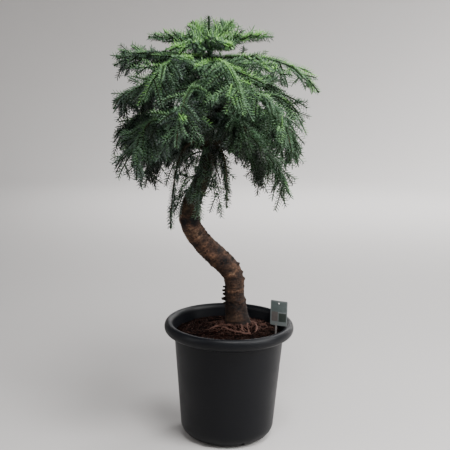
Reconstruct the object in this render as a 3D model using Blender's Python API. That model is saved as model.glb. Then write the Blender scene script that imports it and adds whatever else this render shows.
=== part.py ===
# A weeping hoop pine grown as a bonsai, in a nursery pot.
# Metres, +Z up. The origin is the middle of the pot's flat underside.

import math
import random

import bmesh
import bpy
import numpy as np
from mathutils import Matrix, Vector
from mathutils.bvhtree import BVHTree

GAP = 0.0003  # clear space between two pieces that touch
UP = Vector((0, 0, 1))

# Pot
RIM_RADIUS = 0.1912
RIM_HEIGHT = 0.352
RIM_DEPTH = 0.034  # the rolled rim, top to bottom
RIM_THICK = 0.0255  # the rolled rim, side to side
BODY_TOP_RADIUS = 0.161  # under the collar
BODY_FOOT_RADIUS = 0.139  # where the wall runs into the rounded foot
FOOT_FILLET = 0.042
COLLAR_DEPTH = 0.010
COLLAR_PROUD = 0.0025
COLLAR_SLOPE = 0.002  # height that its lower edge takes to stand out
WALL = 0.0026
POT_SIDES = 32
DRAIN_HOLES = 6
DRAIN_RADIUS = 0.0055
DRAIN_TURN = math.radians(-8)
DRAIN_SLANT = math.radians(45)  # the holes go through the middle of the rounded foot
DRILL_LENGTH = 0.020
DRILL_SIDES = 8

# Soil
SOIL_TOP = 0.325  # flat round the foot of the trunk
SOIL_EDGE = 0.315  # where it meets the pot
SOIL_FLAT_RADIUS = 0.115

# Trunk: its centre line from the ground to the leader's tip, as (x, y, z, diameter)
TRUNK_ROUTE = (
    (0.030, 0.032, SOIL_TOP - 0.030, 0.082),
    (0.024, 0.031, 0.352, 0.070),
    (0.015, 0.028, 0.420, 0.059),
    (0.012, 0.025, 0.472, 0.058),
    (-0.008, 0.021, 0.512, 0.062),
    (-0.063, 0.012, 0.566, 0.062),
    (-0.105, 0.004, 0.616, 0.057),
    (-0.121, 0.000, 0.664, 0.061),
    (-0.112, -0.001, 0.716, 0.052),
    (-0.088, -0.001, 0.768, 0.048),
    (-0.072, 0.000, 0.828, 0.045),
    (-0.066, 0.001, 0.874, 0.034),
    (-0.067, 0.002, 0.950, 0.022),
    (-0.072, 0.001, 1.050, 0.0155),
    (-0.071, 0.000, 1.145, 0.0100),
    (-0.074, 0.000, 1.231, 0.0044),
)
TRUNK_SIDES = 12
RINGS_PER_SPAN = 2
FLARE_HEIGHT = 0.045  # the foot widens into its roots below this height over the soil
FLARE_LOBES = 5
FLARE_WIDTH = 0.13  # share of the radius that a lobe adds at the soil
FLARE_ALL_ROUND = 0.4  # what the foot widens between its lobes, as a share of a lobe

# Roots that show on the soil: (start, bend, end) over the ground plan, with their diameters
SURFACE_ROOTS = (
    ((0.020, 0.020), (-0.006, 0.004), (-0.048, 0.050), 0.011, 0.006),
    ((0.046, -0.004), (0.002, -0.030), (-0.034, 0.034), 0.010, 0.006),
    ((0.048, 0.050), (0.094, 0.050), (0.054, -0.014), 0.013, 0.008),
    ((0.006, 0.040), (-0.046, 0.030), (-0.090, 0.014), 0.009, 0.005),
    ((0.030, 0.050), (0.052, 0.086), (0.020, 0.104), 0.012, 0.005),
)
ROOT_SIDES = 5
ROOT_RINGS = 6
ROOT_RISE = 0.004  # centre of a root over the soil
ROOT_DIP = 0.002  # its end goes under

# Five whorls of six limbs. Each limb is (azimuth in degrees, reach from the trunk, tip height).
# stagger: height between neighbours at the trunk, lift: how far the bend rises, knee: share of
# the reach where a limb turns down, bare: share that is bough, radius: of the bough at the
# trunk, twigs: side twigs of a mass, twig: length of the longest, spread: its angle from the
# stem in degrees, hang: share of its length that it sags
WHORLS = {
    "crown": {
        "height": 1.148, "stagger": 0.006, "lift": 0.014, "knee": 0.50, "bare": 0.0,
        "radius": 0.0022, "twigs": 5, "twig": 0.075, "spread": 46, "hang": -0.26,
        "limbs": ((0, 0.162, 1.181), (64, 0.126, 1.210), (110, 0.126, 1.206),
                  (180, 0.156, 1.174), (229, 0.144, 1.148), (298, 0.110, 1.158)),
    },
    "upper": {
        "height": 1.112, "stagger": 0.010, "lift": 0.036, "knee": 0.72, "bare": 0.14,
        "radius": 0.0036, "twigs": 8, "twig": 0.145, "spread": 54, "hang": 0.42,
        "limbs": ((354, 0.300, 1.044), (50, 0.262, 1.020), (112, 0.255, 1.030),
                  (174, 0.258, 1.098), (228, 0.245, 1.030), (292, 0.248, 1.000)),
    },
    "middle": {
        "height": 1.040, "stagger": 0.013, "lift": 0.036, "knee": 0.86, "bare": 0.25,
        "radius": 0.0046, "twigs": 8, "twig": 0.145, "spread": 54, "hang": 0.62,
        "limbs": ((20, 0.262, 0.955), (80, 0.255, 0.935), (140, 0.258, 0.930),
                  (190, 0.260, 0.990), (252, 0.250, 0.915), (328, 0.268, 0.895)),
    },
    "lower": {
        "height": 0.965, "stagger": 0.016, "lift": 0.034, "knee": 0.92, "bare": 0.34,
        "radius": 0.0054, "twigs": 7, "twig": 0.125, "spread": 48, "hang": 0.72,
        "limbs": ((2, 0.250, 0.842), (48, 0.258, 0.795), (112, 0.240, 0.790),
                  (172, 0.252, 0.880), (214, 0.246, 0.845), (300, 0.215, 0.915)),
    },
    "skirt": {
        "height": 0.872, "stagger": 0.020, "lift": 0.045, "knee": 0.95, "bare": 0.34,
        "radius": 0.0066, "twigs": 5, "twig": 0.078, "spread": 40, "hang": 0.60,
        "limbs": ((338, 0.228, 0.748), (8, 0.150, 0.775), (84, 0.170, 0.740),
                  (150, 0.210, 0.765), (208, 0.120, 0.655), (302, 0.100, 0.725)),
    },
}
BOUGH_SIDES = 5
BOUGH_RINGS = 4
BOUGH_TAPER = 0.62  # radius at the bough's end over its radius near the trunk
BOUGH_COLLAR = 1.25  # radius against the trunk over its radius just past the collar
LIMB_STEPS = 12  # straight runs along a limb's line
HEADING_SPAN = 0.03  # share of a limb, each way, that its heading is read over
SEAT_SPAN = 0.004  # the same for the trunk, in metres
SEAT_POINTS = 12  # round a limb's end, tried against the bark
SEAT_STEP = GAP / 6

# Sprays of needles: a three-sided core with a needle standing out of each facet
NEEDLE = 0.0155
NEEDLE_LEAN = 0.011  # how far a needle's point leans towards the spray's tip
NEEDLE_PITCH = 0.028
STEM_RADIUS = 0.0022
TWIG_RADIUS = 0.0017
POINT_RADIUS = 0.0009
FIRST_TWIG = 0.06  # share of the stem where the twigs begin
LAST_TWIG = 0.84
TWIG_BEND = 0.5  # share of its length where a twig begins to turn down
TWIG_BEND_SAG = 0.2  # share of its sag that it has there
SAG_SHORTENS = 0.3  # reach that a twig loses for its sag
SPREAD_PLAY = 8  # degrees that a twig's angle may vary
LENGTH_PLAY = 0.12  # share that its length may vary
UPRIGHT = 0.2  # under this much of level reach, a stem counts as upright
TWIG_TAPER = 0.45  # how much shorter the twigs get along the stem, as a share
CLEAR_OF_LIMB = 0.004  # between a needle's point and another limb's bark
CLEAR_OF_MASS = 0.0015  # between a needle's point and the edge of its own space
SEED = 30

# Plant label, pushed into the soil by its stake
LABEL_FOOT = (0.1435, -0.044)
LABEL_TURN = math.radians(-22)
LABEL_WIDTH = 0.0515
LABEL_BOTTOM = 0.3535
LABEL_TOP = 0.4285
LABEL_THICK = 0.0009
LABEL_CORNER = 0.003
LABEL_HOLE = 0.0022
LABEL_HOLE_DROP = 0.008  # under the card's upper edge
STAKE_WIDTH = 0.0055
STAKE_DEPTH = 0.040  # below the soil
STAKE_SHIFT = -0.007  # from the card's middle
STAKE_LAP = 0.004  # up the card
CUT_OVER = 0.02  # how far a cutting shape goes past what it cuts


def clear_scene():
    for old in list(bpy.data.objects):
        bpy.data.objects.remove(old, do_unlink=True)


def material(name, colour, roughness, metallic=0.0):
    made = bpy.data.materials.new(name)
    made.use_nodes = True
    shader = made.node_tree.nodes["Principled BSDF"]
    shader.inputs["Base Color"].default_value = (*colour, 1)
    shader.inputs["Roughness"].default_value = roughness
    shader.inputs["Metallic"].default_value = metallic
    return made


def add_object(name, bm, surface=None, collection=None):
    bmesh.ops.recalc_face_normals(bm, faces=bm.faces)
    mesh = bpy.data.meshes.new(name)
    bm.to_mesh(mesh)
    bm.free()
    piece = bpy.data.objects.new(name, mesh)
    (collection or bpy.context.scene.collection).objects.link(piece)
    if surface:
        mesh.materials.append(surface)
    return piece


def shade(piece, angle=40):
    piece.data.shade_smooth()
    piece.data.set_sharp_from_angle(angle=math.radians(angle))


def apply_boolean(piece, operation, other=None, group=None, solver="EXACT"):
    """Join or cut a piece by one object or by a collection, and remove what it used."""
    cut = piece.modifiers.new("join", "BOOLEAN")
    cut.operation = operation
    cut.solver = solver
    if group:
        cut.operand_type = "COLLECTION"
        cut.collection = group
    else:
        cut.object = other
    bpy.context.view_layer.update()
    graph = bpy.context.evaluated_depsgraph_get()
    joined = bpy.data.meshes.new_from_object(piece.evaluated_get(graph))
    piece.modifiers.clear()
    piece.data = joined
    for used in list(group.objects) if group else [other]:
        bpy.data.objects.remove(used, do_unlink=True)
    if group:
        bpy.data.collections.remove(group)


def keep_largest_body(piece):
    """Drop loose scraps: the faces that don't connect to the biggest body."""
    bm = bmesh.new()
    bm.from_mesh(piece.data)
    left = set(bm.verts)
    bodies = []
    while left:
        body, edge = set(), [left.pop()]
        while edge:
            vert = edge.pop()
            body.add(vert)
            for link in vert.link_edges:
                other = link.other_vert(vert)
                if other in left:
                    left.discard(other)
                    edge.append(other)
        bodies.append(body)
    bodies.sort(key=len)
    bmesh.ops.delete(bm, geom=[v for body in bodies[:-1] for v in body], context="VERTS")
    bm.to_mesh(piece.data)
    bm.free()


# Lines and swept limbs

def smooth_line(points, spans):
    """A Catmull-Rom curve through points of any size, spans steps between two of them."""
    points = [np.array(p, dtype=float) for p in points]
    padded = [2 * points[0] - points[1], *points, 2 * points[-1] - points[-2]]
    line = []
    for a, b, c, d in zip(padded, padded[1:], padded[2:], padded[3:]):
        for step in range(spans):
            t = step / spans
            line.append(0.5 * (2 * b + (c - a) * t + (2 * a - 5 * b + 4 * c - d) * t**2
                               + (3 * b - a - 3 * c + d) * t**3))
    line.append(points[-1])
    return line


def bend_line(start, bend, end, steps):
    """A quadratic curve from start to end that is drawn towards bend."""
    line = []
    for step in range(steps + 1):
        t = step / steps
        line.append(start * (1 - t)**2 + bend * 2 * t * (1 - t) + end * t**2)
    return line


def frames_along(line, roll=0.0, first=None, last=None):
    """One matrix per point, its Z along the line, turned as little as possible on the way."""
    frames = []
    side = None
    for i, point in enumerate(line):
        along = (line[min(i + 1, len(line) - 1)] - line[max(i - 1, 0)]).normalized()
        if first and i == 0:
            along = first
        if last and i == len(line) - 1:
            along = last
        if side is None:
            side = along.orthogonal().normalized()
            side.rotate(Matrix.Rotation(roll, 3, along))
        side = (side - along * side.dot(along)).normalized()
        across = along.cross(side)
        frame = Matrix((side, across, along)).transposed().to_4x4()
        frame.translation = point
        frames.append(frame)
    return frames


def sweep(bm, frames, radii, sides):
    """Extrude a ring along the frames, and give back its walls, a list per step, and its end."""
    ring = bmesh.ops.create_circle(bm, cap_ends=True, segments=sides, radius=radii[0],
                                   matrix=frames[0])["verts"]
    edges = list({edge for vert in ring for edge in vert.link_edges})
    walls = []
    for i in range(1, len(frames)):
        new = bmesh.ops.extrude_edge_only(bm, edges=edges)["geom"]
        ring = [item for item in new if isinstance(item, bmesh.types.BMVert)]
        edges = [item for item in new if isinstance(item, bmesh.types.BMEdge)
                 and all(vert in ring for vert in item.verts)]
        grow = Matrix.Scale(radii[i] / radii[i - 1], 4)
        bmesh.ops.transform(bm, matrix=frames[i] @ grow @ frames[i - 1].inverted(), verts=ring)
        walls.append([item for item in new if isinstance(item, bmesh.types.BMFace)])
    end = bmesh.ops.contextual_create(bm, geom=edges)["faces"]
    return walls, end


def resample(line, shares):
    """Points at the given shares of a line's length."""
    lengths = [0.0]
    for a, b in zip(line, line[1:]):
        lengths.append(lengths[-1] + (b - a).length)
    points = []
    for share in shares:
        want = lengths[-1] * share
        i = min(max(1, sum(length < want for length in lengths)), len(line) - 1)
        along = (want - lengths[i - 1]) / (lengths[i] - lengths[i - 1])
        points.append(line[i - 1].lerp(line[i], min(max(along, 0), 1)))
    return points


def line_length(line):
    return sum((b - a).length for a, b in zip(line, line[1:]))


# Pot and soil

def wall_radius(height):
    """Outer radius of the pot's wall over its rounded foot."""
    share = (height - FOOT_FILLET) / (RIM_HEIGHT - RIM_DEPTH - COLLAR_DEPTH - FOOT_FILLET)
    return BODY_FOOT_RADIUS + (BODY_TOP_RADIUS - BODY_FOOT_RADIUS) * share


def foot_outline(inset, steps=4):
    """The pot's rounded foot, from its underside up to the wall, set in by a wall's depth."""
    centre = BODY_FOOT_RADIUS - FOOT_FILLET
    outline = []
    for step in range(steps + 1):
        angle = math.radians(90) * step / steps
        outline.append((centre + (FOOT_FILLET - inset) * math.sin(angle),
                        FOOT_FILLET - (FOOT_FILLET - inset) * math.cos(angle)))
    return outline


def rim_outline(steps=8):
    """The rolled rim's section, from under its outer edge over the top to its inner edge."""
    centre = RIM_RADIUS - RIM_THICK / 2
    middle = RIM_HEIGHT - RIM_DEPTH / 2
    outline = []
    for step in range(steps + 1):
        angle = math.radians(-70 + 250 * step / steps)
        outline.append((centre + RIM_THICK / 2 * math.cos(angle),
                        middle + RIM_DEPTH / 2 * math.sin(angle)))
    return outline


def turn(outline, sides):
    """Turn an outline of (radius, height) about the Z axis."""
    bm = bmesh.new()
    verts = [bm.verts.new((radius, 0, height)) for radius, height in outline]
    edges = [bm.edges.new(pair) for pair in zip(verts, verts[1:])]
    if outline[0][0] > 0:
        edges.append(bm.edges.new((verts[-1], verts[0])))
    bmesh.ops.spin(bm, geom=verts + edges, axis=UP, cent=(0, 0, 0), angle=math.tau,
                   steps=sides, use_merge=True)
    bmesh.ops.remove_doubles(bm, verts=bm.verts, dist=0.00005)
    return bm


def make_pot():
    under_rim = RIM_HEIGHT - RIM_DEPTH
    collar = under_rim - COLLAR_DEPTH
    outside = [(0, 0), *foot_outline(0), (BODY_TOP_RADIUS, collar),
               (BODY_TOP_RADIUS + COLLAR_PROUD, collar + COLLAR_SLOPE),
               (BODY_TOP_RADIUS + COLLAR_PROUD, under_rim)]
    inside = [(wall_radius(collar) - WALL, collar), *reversed(foot_outline(WALL)), (0, WALL)]
    pot = add_object("pot", turn(outside + rim_outline() + inside, POT_SIDES),
                     material("dark plastic", (0.026, 0.029, 0.032), 0.5))
    drill = bpy.data.collections.new("drain drills")
    bpy.context.scene.collection.children.link(drill)
    for hole in range(DRAIN_HOLES):
        turned = Matrix.Rotation(DRAIN_TURN + math.tau * hole / DRAIN_HOLES, 4, "Z")
        bm = bmesh.new()
        bmesh.ops.create_cone(bm, cap_ends=True, segments=DRILL_SIDES, radius1=DRAIN_RADIUS,
                              radius2=DRAIN_RADIUS, depth=DRILL_LENGTH)
        out = BODY_FOOT_RADIUS - FOOT_FILLET + FOOT_FILLET * math.sin(DRAIN_SLANT)
        up = FOOT_FILLET - FOOT_FILLET * math.cos(DRAIN_SLANT)
        lean = Matrix.Rotation(math.pi - DRAIN_SLANT, 4, "Y")
        tilt = Matrix.Translation((out, 0, up)) @ lean
        bmesh.ops.transform(bm, matrix=turned @ tilt, verts=bm.verts)
        add_object(f"drill_{hole}", bm, collection=drill)
    apply_boolean(pot, "DIFFERENCE", group=drill)
    shade(pot)
    return pot


def label_frame():
    """Stands at the label's foot, X across the label and Y through it."""
    foot = Matrix.Translation((*LABEL_FOOT, 0))
    return foot @ Matrix.Rotation(LABEL_TURN, 4, "Z")


def box(width, depth, bottom, top, middle=0):
    bm = bmesh.new()
    bmesh.ops.create_cube(bm, size=1)
    bmesh.ops.scale(bm, vec=(width, depth, top - bottom), verts=bm.verts)
    bmesh.ops.translate(bm, vec=(middle, 0, (top + bottom) / 2), verts=bm.verts)
    return bm


def make_soil():
    inset = WALL + GAP
    outline = [(0, inset), *foot_outline(inset), (wall_radius(SOIL_EDGE) - inset, SOIL_EDGE),
               (SOIL_FLAT_RADIUS, SOIL_TOP), (0, SOIL_TOP)]
    soil = add_object("soil", turn(outline, POT_SIDES),
                      material("bark mix", (0.055, 0.024, 0.016), 0.95))
    slot = box(STAKE_WIDTH + 2 * GAP, LABEL_THICK + 2 * GAP,
               SOIL_TOP - STAKE_DEPTH - GAP, SOIL_TOP + CUT_OVER, STAKE_SHIFT)
    bmesh.ops.transform(slot, matrix=label_frame(), verts=slot.verts)
    apply_boolean(soil, "DIFFERENCE", other=add_object("slot", slot))
    shade(soil, 20)
    return soil


def make_label():
    plate = box(LABEL_WIDTH, LABEL_THICK, LABEL_BOTTOM, LABEL_TOP)
    corners = [edge for edge in plate.edges
               if abs(edge.verts[0].co.y - edge.verts[1].co.y) > LABEL_THICK / 2]
    bmesh.ops.bevel(plate, geom=corners, offset=LABEL_CORNER, segments=2, profile=0.5,
                    affect="EDGES", material=-1)
    label = add_object("plant_label", plate, material("label card", (0.42, 0.47, 0.46), 0.5))
    stake = box(STAKE_WIDTH, LABEL_THICK, SOIL_TOP - STAKE_DEPTH, LABEL_BOTTOM + STAKE_LAP,
                STAKE_SHIFT)
    apply_boolean(label, "UNION", other=add_object("stake", stake))
    hole = bmesh.new()
    bmesh.ops.create_cone(hole, cap_ends=True, segments=10, radius1=LABEL_HOLE,
                          radius2=LABEL_HOLE, depth=CUT_OVER)
    bmesh.ops.rotate(hole, matrix=Matrix.Rotation(math.radians(90), 3, "X"), verts=hole.verts)
    bmesh.ops.translate(hole, vec=(0, 0, LABEL_TOP - LABEL_HOLE_DROP), verts=hole.verts)
    apply_boolean(label, "DIFFERENCE", other=add_object("hole", hole))
    label.matrix_world = label_frame()
    return label


# Trunk

def trunk_line():
    """The trunk's centre line as (points, radii)."""
    line = smooth_line(TRUNK_ROUTE, RINGS_PER_SPAN)
    return [Vector(point[:3]) for point in line], [point[3] / 2 for point in line]


def trunk_at(height):
    """Centre and radius of the trunk at a height."""
    points, radii = trunk_line()
    for a, b, ra, rb in zip(points, points[1:], radii, radii[1:]):
        if a.z <= height <= b.z:
            share = (height - a.z) / (b.z - a.z)
            return a.lerp(b, share), ra + (rb - ra) * share
    return points[-1], radii[-1]


def make_trunk():
    points, radii = trunk_line()
    bm = bmesh.new()
    sweep(bm, frames_along(points), radii, TRUNK_SIDES)
    foot, _ = trunk_at(SOIL_TOP)
    for vert in bm.verts:
        low = 1 - (vert.co.z - SOIL_TOP) / FLARE_HEIGHT
        if low > 0:
            out = Vector((vert.co.x - foot.x, vert.co.y - foot.y, 0))
            lobe = 0.5 + 0.5 * math.cos(FLARE_LOBES * math.atan2(out.y, out.x))
            vert.co += out * FLARE_WIDTH * min(low, 1)**2 * (FLARE_ALL_ROUND + lobe)
    trunk = add_object("trunk", bm, material("bark", (0.13, 0.075, 0.05), 0.85))
    roots = bpy.data.collections.new("roots")
    bpy.context.scene.collection.children.link(roots)
    for number, (start, bend, end, thick, thin) in enumerate(SURFACE_ROOTS):
        rise = SOIL_TOP + ROOT_RISE
        line = bend_line(Vector((*start, rise)), Vector((*bend, rise)),
                         Vector((*end, SOIL_TOP - ROOT_DIP)), ROOT_RINGS)
        widths = [(thick + (thin - thick) * i / ROOT_RINGS) / 2 for i in range(ROOT_RINGS + 1)]
        bm = bmesh.new()
        sweep(bm, frames_along(line), widths, ROOT_SIDES)
        add_object(f"root_{number}", bm, collection=roots)
    apply_boolean(trunk, "UNION", group=roots)
    ground = box(2 * RIM_RADIUS, 2 * RIM_RADIUS, 0, SOIL_TOP + GAP)
    apply_boolean(trunk, "DIFFERENCE", other=add_object("ground", ground))
    keep_largest_body(trunk)
    shade(trunk)
    return trunk


# Limbs

def limb_rows(line, radii):
    """A limb as rows of x, y, z and radius, for gap_to."""
    return np.array([(*point, radius) for point, radius in zip(line, radii)])


def gap_to(rows, point):
    """Distance from a point to the skin of a limb given as rows."""
    start, run = rows[:-1], rows[1:] - rows[:-1]
    here = np.array(list(point))
    share = ((here - start[:, :3]) * run[:, :3]).sum(axis=1) / (run[:, :3]**2).sum(axis=1)
    near = start + run * np.clip(share, 0, 1)[:, None]
    return (np.linalg.norm(near[:, :3] - here, axis=1) - near[:, 3]).min()


def seat(bark_surface, height, azimuth, radius):
    """Where a round limb's end lies against the trunk, and which way it faces."""
    foot, trunk_radius = trunk_at(height)
    below, above = trunk_at(height - SEAT_SPAN)[0], trunk_at(height + SEAT_SPAN)[0]
    along = (above - below).normalized()
    out = Vector((math.cos(math.radians(azimuth)), math.sin(math.radians(azimuth)), 0))
    out = (out - along * out.dot(along)).normalized()
    across = out.cross(along)
    turns = [math.tau * step / SEAT_POINTS for step in range(SEAT_POINTS)]
    edge = [(along * math.cos(turn) + across * math.sin(turn)) * radius for turn in turns]

    def gap(distance):
        centre = foot + out * distance
        return min(bark_surface.find_nearest(centre + point)[3] for point in (Vector(), *edge))

    distance = trunk_radius + radius
    while gap(distance) > GAP:
        distance -= SEAT_STEP
    return foot + out * (distance + SEAT_STEP), out


def limbs(trunk):
    """Every limb's name, whorl, centre line and the way that it leaves the trunk."""
    bark_surface = BVHTree.FromPolygons([vert.co for vert in trunk.data.vertices],
                                        [face.vertices for face in trunk.data.polygons])
    found = []
    for level, whorl in WHORLS.items():
        for number, (azimuth, reach, tip) in enumerate(whorl["limbs"], 1):
            height = whorl["height"] + whorl["stagger"] * (number % 2 - 0.5)
            start, leaves = seat(bark_surface, height, azimuth, whorl["radius"] * BOUGH_COLLAR)
            axis, _ = trunk_at(height)
            out = Vector((math.cos(math.radians(azimuth)), math.sin(math.radians(azimuth)), 0))
            end = Vector((axis.x, axis.y, tip)) + out * reach
            bend = axis + out * reach * whorl["knee"] + UP * whorl["lift"]
            if whorl["bare"] == 0:
                bend.z += (tip - height) * whorl["knee"]
            found.append((f"{level}_{number}", whorl, bend_line(start, bend, end, LIMB_STEPS),
                          leaves))
    return found


def heading(line, share):
    behind, ahead = resample(line, (max(share - HEADING_SPAN, 0), min(share + HEADING_SPAN, 1)))
    return (ahead - behind).normalized()


def make_bough(name, whorl, line, leaves, bark):
    bm = bmesh.new()
    points = resample(line, [whorl["bare"] * i / BOUGH_RINGS for i in range(BOUGH_RINGS + 1)])
    radii = []
    for i in range(BOUGH_RINGS + 1):
        share = i / BOUGH_RINGS
        swell = (BOUGH_COLLAR - 1) * (1 - share)**6
        radii.append(whorl["radius"] * (1 + (BOUGH_TAPER - 1) * share + swell))
    frames = frames_along(points, first=leaves, last=heading(line, whorl["bare"]))
    sweep(bm, frames, radii, BOUGH_SIDES)
    bough = add_object(f"bough_{name}", bm, bark)
    shade(bough)
    return bough


# Masses of foliage

def own_space(skin, lines, radii, own):
    """A test: is a point nearer to its own limb's line than to any other limb or the trunk?"""
    rows = [limb_rows(line, [0] * len(line)) for line in lines]

    def inside(point):
        if gap_to(skin, point) < CLEAR_OF_LIMB:
            return False
        mine = gap_to(rows[own], point)
        for i, radius in enumerate(radii):
            if i != own:
                gap = gap_to(rows[i], point)
                if gap < mine + CLEAR_OF_MASS or gap < radius + CLEAR_OF_LIMB:
                    return False
        return True

    return inside


def spray_points(line, start=0.0):
    """Where a spray's rings lie: a short bare step at its root, then even ones to the tip."""
    steps = max(3, round(line_length(line) * (1 - start) / NEEDLE_PITCH + 0.5))
    shares = [0, *((step - 0.5) / (steps - 0.5) for step in range(1, steps + 1))]
    return resample(line, [start + (1 - start) * share for share in shares])


def spray(points, radius, roll, first=None):
    """A slim core with a needle on each facet past its root, and one at its tip."""
    bm = bmesh.new()
    steps = len(points) - 1
    radii = [radius + (POINT_RADIUS - radius) * i / steps for i in range(steps + 1)]
    walls, end = sweep(bm, frames_along(points, roll, first), radii, 3)
    bmesh.ops.recalc_face_normals(bm, faces=bm.faces)
    for step in range(1, steps):
        lean = (points[step + 1] - points[step]).normalized() * NEEDLE_LEAN
        tips = bmesh.ops.poke(bm, faces=walls[step], offset=NEEDLE)["verts"]
        bmesh.ops.translate(bm, vec=lean, verts=tips)
    bmesh.ops.poke(bm, faces=end, offset=NEEDLE)
    return bm


def clear_steps(points, inside):
    """How many steps of a spray, with the needles round it, stay in the mass's own space."""
    frames = frames_along(points)
    for step in range(1, len(points)):
        for number in range(6):
            angle = math.tau * number / 6
            reach = Vector((math.cos(angle) * NEEDLE, math.sin(angle) * NEEDLE, 0))
            if not inside(frames[step] @ reach) or not inside(frames[step] @ (UP * NEEDLE)):
                return step - 1
    return len(points) - 1


def twig_line(stem, share, side, length, whorl, rng):
    """A side twig's line: out from the stem at an angle, then sagging by its own weight."""
    at, = resample(stem, [share])
    along = heading(stem, share)
    flat = along.cross(UP)
    flat = (flat if flat.length > UPRIGHT else Vector((along.y, -along.x, 0))).normalized()
    spread = math.radians(whorl["spread"] + rng.uniform(-SPREAD_PLAY, SPREAD_PLAY))
    out = along * math.cos(spread) + flat * side * math.sin(spread)
    sag = UP * whorl["hang"] * length
    end = at + out * length * (1 - SAG_SHORTENS * abs(whorl["hang"])) - sag
    bend = at + out * length * TWIG_BEND - sag * TWIG_BEND_SAG
    return bend_line(at, bend, end, LIMB_STEPS)


def make_mass(name, whorl, line, leaves, inside, rng, leaf):
    start = 0
    if whorl["bare"] > 0:
        start = whorl["bare"] + GAP / line_length(line)
        leaves = heading(line, whorl["bare"])
    stem = spray_points(line, start)
    mass = add_object(f"mass_{name}", spray(stem, STEM_RADIUS, rng.uniform(0, math.tau), leaves),
                      leaf)
    twigs = bpy.data.collections.new(f"twigs_{name}")
    bpy.context.scene.collection.children.link(twigs)
    for number in range(whorl["twigs"]):
        side = 1 if number % 2 else -1
        share = FIRST_TWIG + (LAST_TWIG - FIRST_TWIG) * number / (whorl["twigs"] - 1)
        play = rng.uniform(1 - LENGTH_PLAY, 1 + LENGTH_PLAY)
        size = whorl["twig"] * (1 - TWIG_TAPER * share) * play
        twig = spray_points(twig_line(stem, share, side, size, whorl, rng))
        clear = clear_steps(twig, inside)
        roll = rng.uniform(0, math.tau)
        if clear > 1:
            add_object(f"{name}_{number}", spray(twig[:clear + 1], TWIG_RADIUS, roll),
                       collection=twigs)
    apply_boolean(mass, "UNION", group=twigs, solver="MANIFOLD")
    keep_largest_body(mass)
    return mass


def main():
    clear_scene()
    make_pot()
    make_soil()
    make_label()
    trunk = make_trunk()
    bark = material("young bark", (0.085, 0.055, 0.035), 0.8)
    leaf = material("needles", (0.055, 0.16, 0.06), 0.6)
    skin = limb_rows(*trunk_line())
    found = limbs(trunk)
    lines = [line for _, _, line, _ in found]
    radii = [whorl["radius"] for _, whorl, _, _ in found]
    rng = random.Random(SEED)
    for own, (name, whorl, line, leaves) in enumerate(found):
        if whorl["bare"] > 0:
            make_bough(name, whorl, line, leaves, bark)
        inside = own_space(skin, lines, radii, own)
        make_mass(name, whorl, line, leaves, inside, rng, leaf)
    bpy.context.view_layer.update()


main()
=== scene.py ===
import math

import bmesh
import bpy
import numpy as np
from mathutils import Matrix, Vector, noise
from mathutils.kdtree import KDTree


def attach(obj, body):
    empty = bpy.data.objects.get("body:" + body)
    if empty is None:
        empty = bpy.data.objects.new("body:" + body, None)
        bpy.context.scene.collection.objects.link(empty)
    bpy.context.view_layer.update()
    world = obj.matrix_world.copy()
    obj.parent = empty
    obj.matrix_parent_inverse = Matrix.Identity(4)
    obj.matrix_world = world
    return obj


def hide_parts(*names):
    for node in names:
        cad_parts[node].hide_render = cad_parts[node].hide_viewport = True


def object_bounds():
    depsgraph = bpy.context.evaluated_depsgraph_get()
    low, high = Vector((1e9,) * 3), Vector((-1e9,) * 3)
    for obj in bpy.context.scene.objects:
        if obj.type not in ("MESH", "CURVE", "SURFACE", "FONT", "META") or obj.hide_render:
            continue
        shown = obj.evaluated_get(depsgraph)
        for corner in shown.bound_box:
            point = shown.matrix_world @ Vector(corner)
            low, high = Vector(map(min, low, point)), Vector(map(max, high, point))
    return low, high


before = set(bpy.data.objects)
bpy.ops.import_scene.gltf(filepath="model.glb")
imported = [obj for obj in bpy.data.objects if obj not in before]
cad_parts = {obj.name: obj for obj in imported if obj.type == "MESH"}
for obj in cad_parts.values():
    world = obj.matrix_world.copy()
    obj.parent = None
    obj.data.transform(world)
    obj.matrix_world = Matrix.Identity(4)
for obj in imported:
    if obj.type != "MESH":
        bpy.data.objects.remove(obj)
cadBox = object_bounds()
up = Vector((0, 0, 1))


# Helpers for shader trees and meshes

def addNode(tree, kind, inputs=None, **settings):
    made = tree.nodes.new("ShaderNode" + kind)
    for key, value in settings.items():
        setattr(made, key, value)
    for key, value in (inputs or {}).items():
        if isinstance(value, bpy.types.NodeSocket):
            tree.links.new(value, made.inputs[key])
        else:
            made.inputs[key].default_value = value
    return made


def addRamp(tree, factor, stops):
    made = addNode(tree, "ValToRGB", {"Fac": factor})
    elements = made.color_ramp.elements
    for number, (place, colour) in enumerate(stops):
        stop = elements[number] if number < 2 else elements.new(place)
        stop.position = place
        stop.color = (*colour, 1)
    return made.outputs["Color"]


def blendColours(tree, factor, first, second, way="MIX"):
    made = addNode(tree, "Mix", data_type="RGBA", blend_type=way)
    for socket, value in ((made.inputs[0], factor), (made.inputs[6], first), (made.inputs[7], second)):
        if isinstance(value, bpy.types.NodeSocket):
            tree.links.new(value, socket)
        elif socket.type == "RGBA":
            socket.default_value = (*value, 1)
        else:
            socket.default_value = value
    return made.outputs[2]


def addNoise(tree, spots, scale, detail, roughness=0.5):
    made = addNode(tree, "TexNoise", {"Vector": spots, "Scale": scale, "Detail": detail,
                                      "Roughness": roughness})
    return made.outputs["Fac"]


def addRange(tree, value, low, high, newLow=0.0, newHigh=1.0):
    made = addNode(tree, "MapRange", {"Value": value, "From Min": low, "From Max": high,
                                      "To Min": newLow, "To Max": newHigh})
    return made.outputs[0]


def scaled(colour, factor):
    return tuple(channel * factor for channel in colour)


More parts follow.
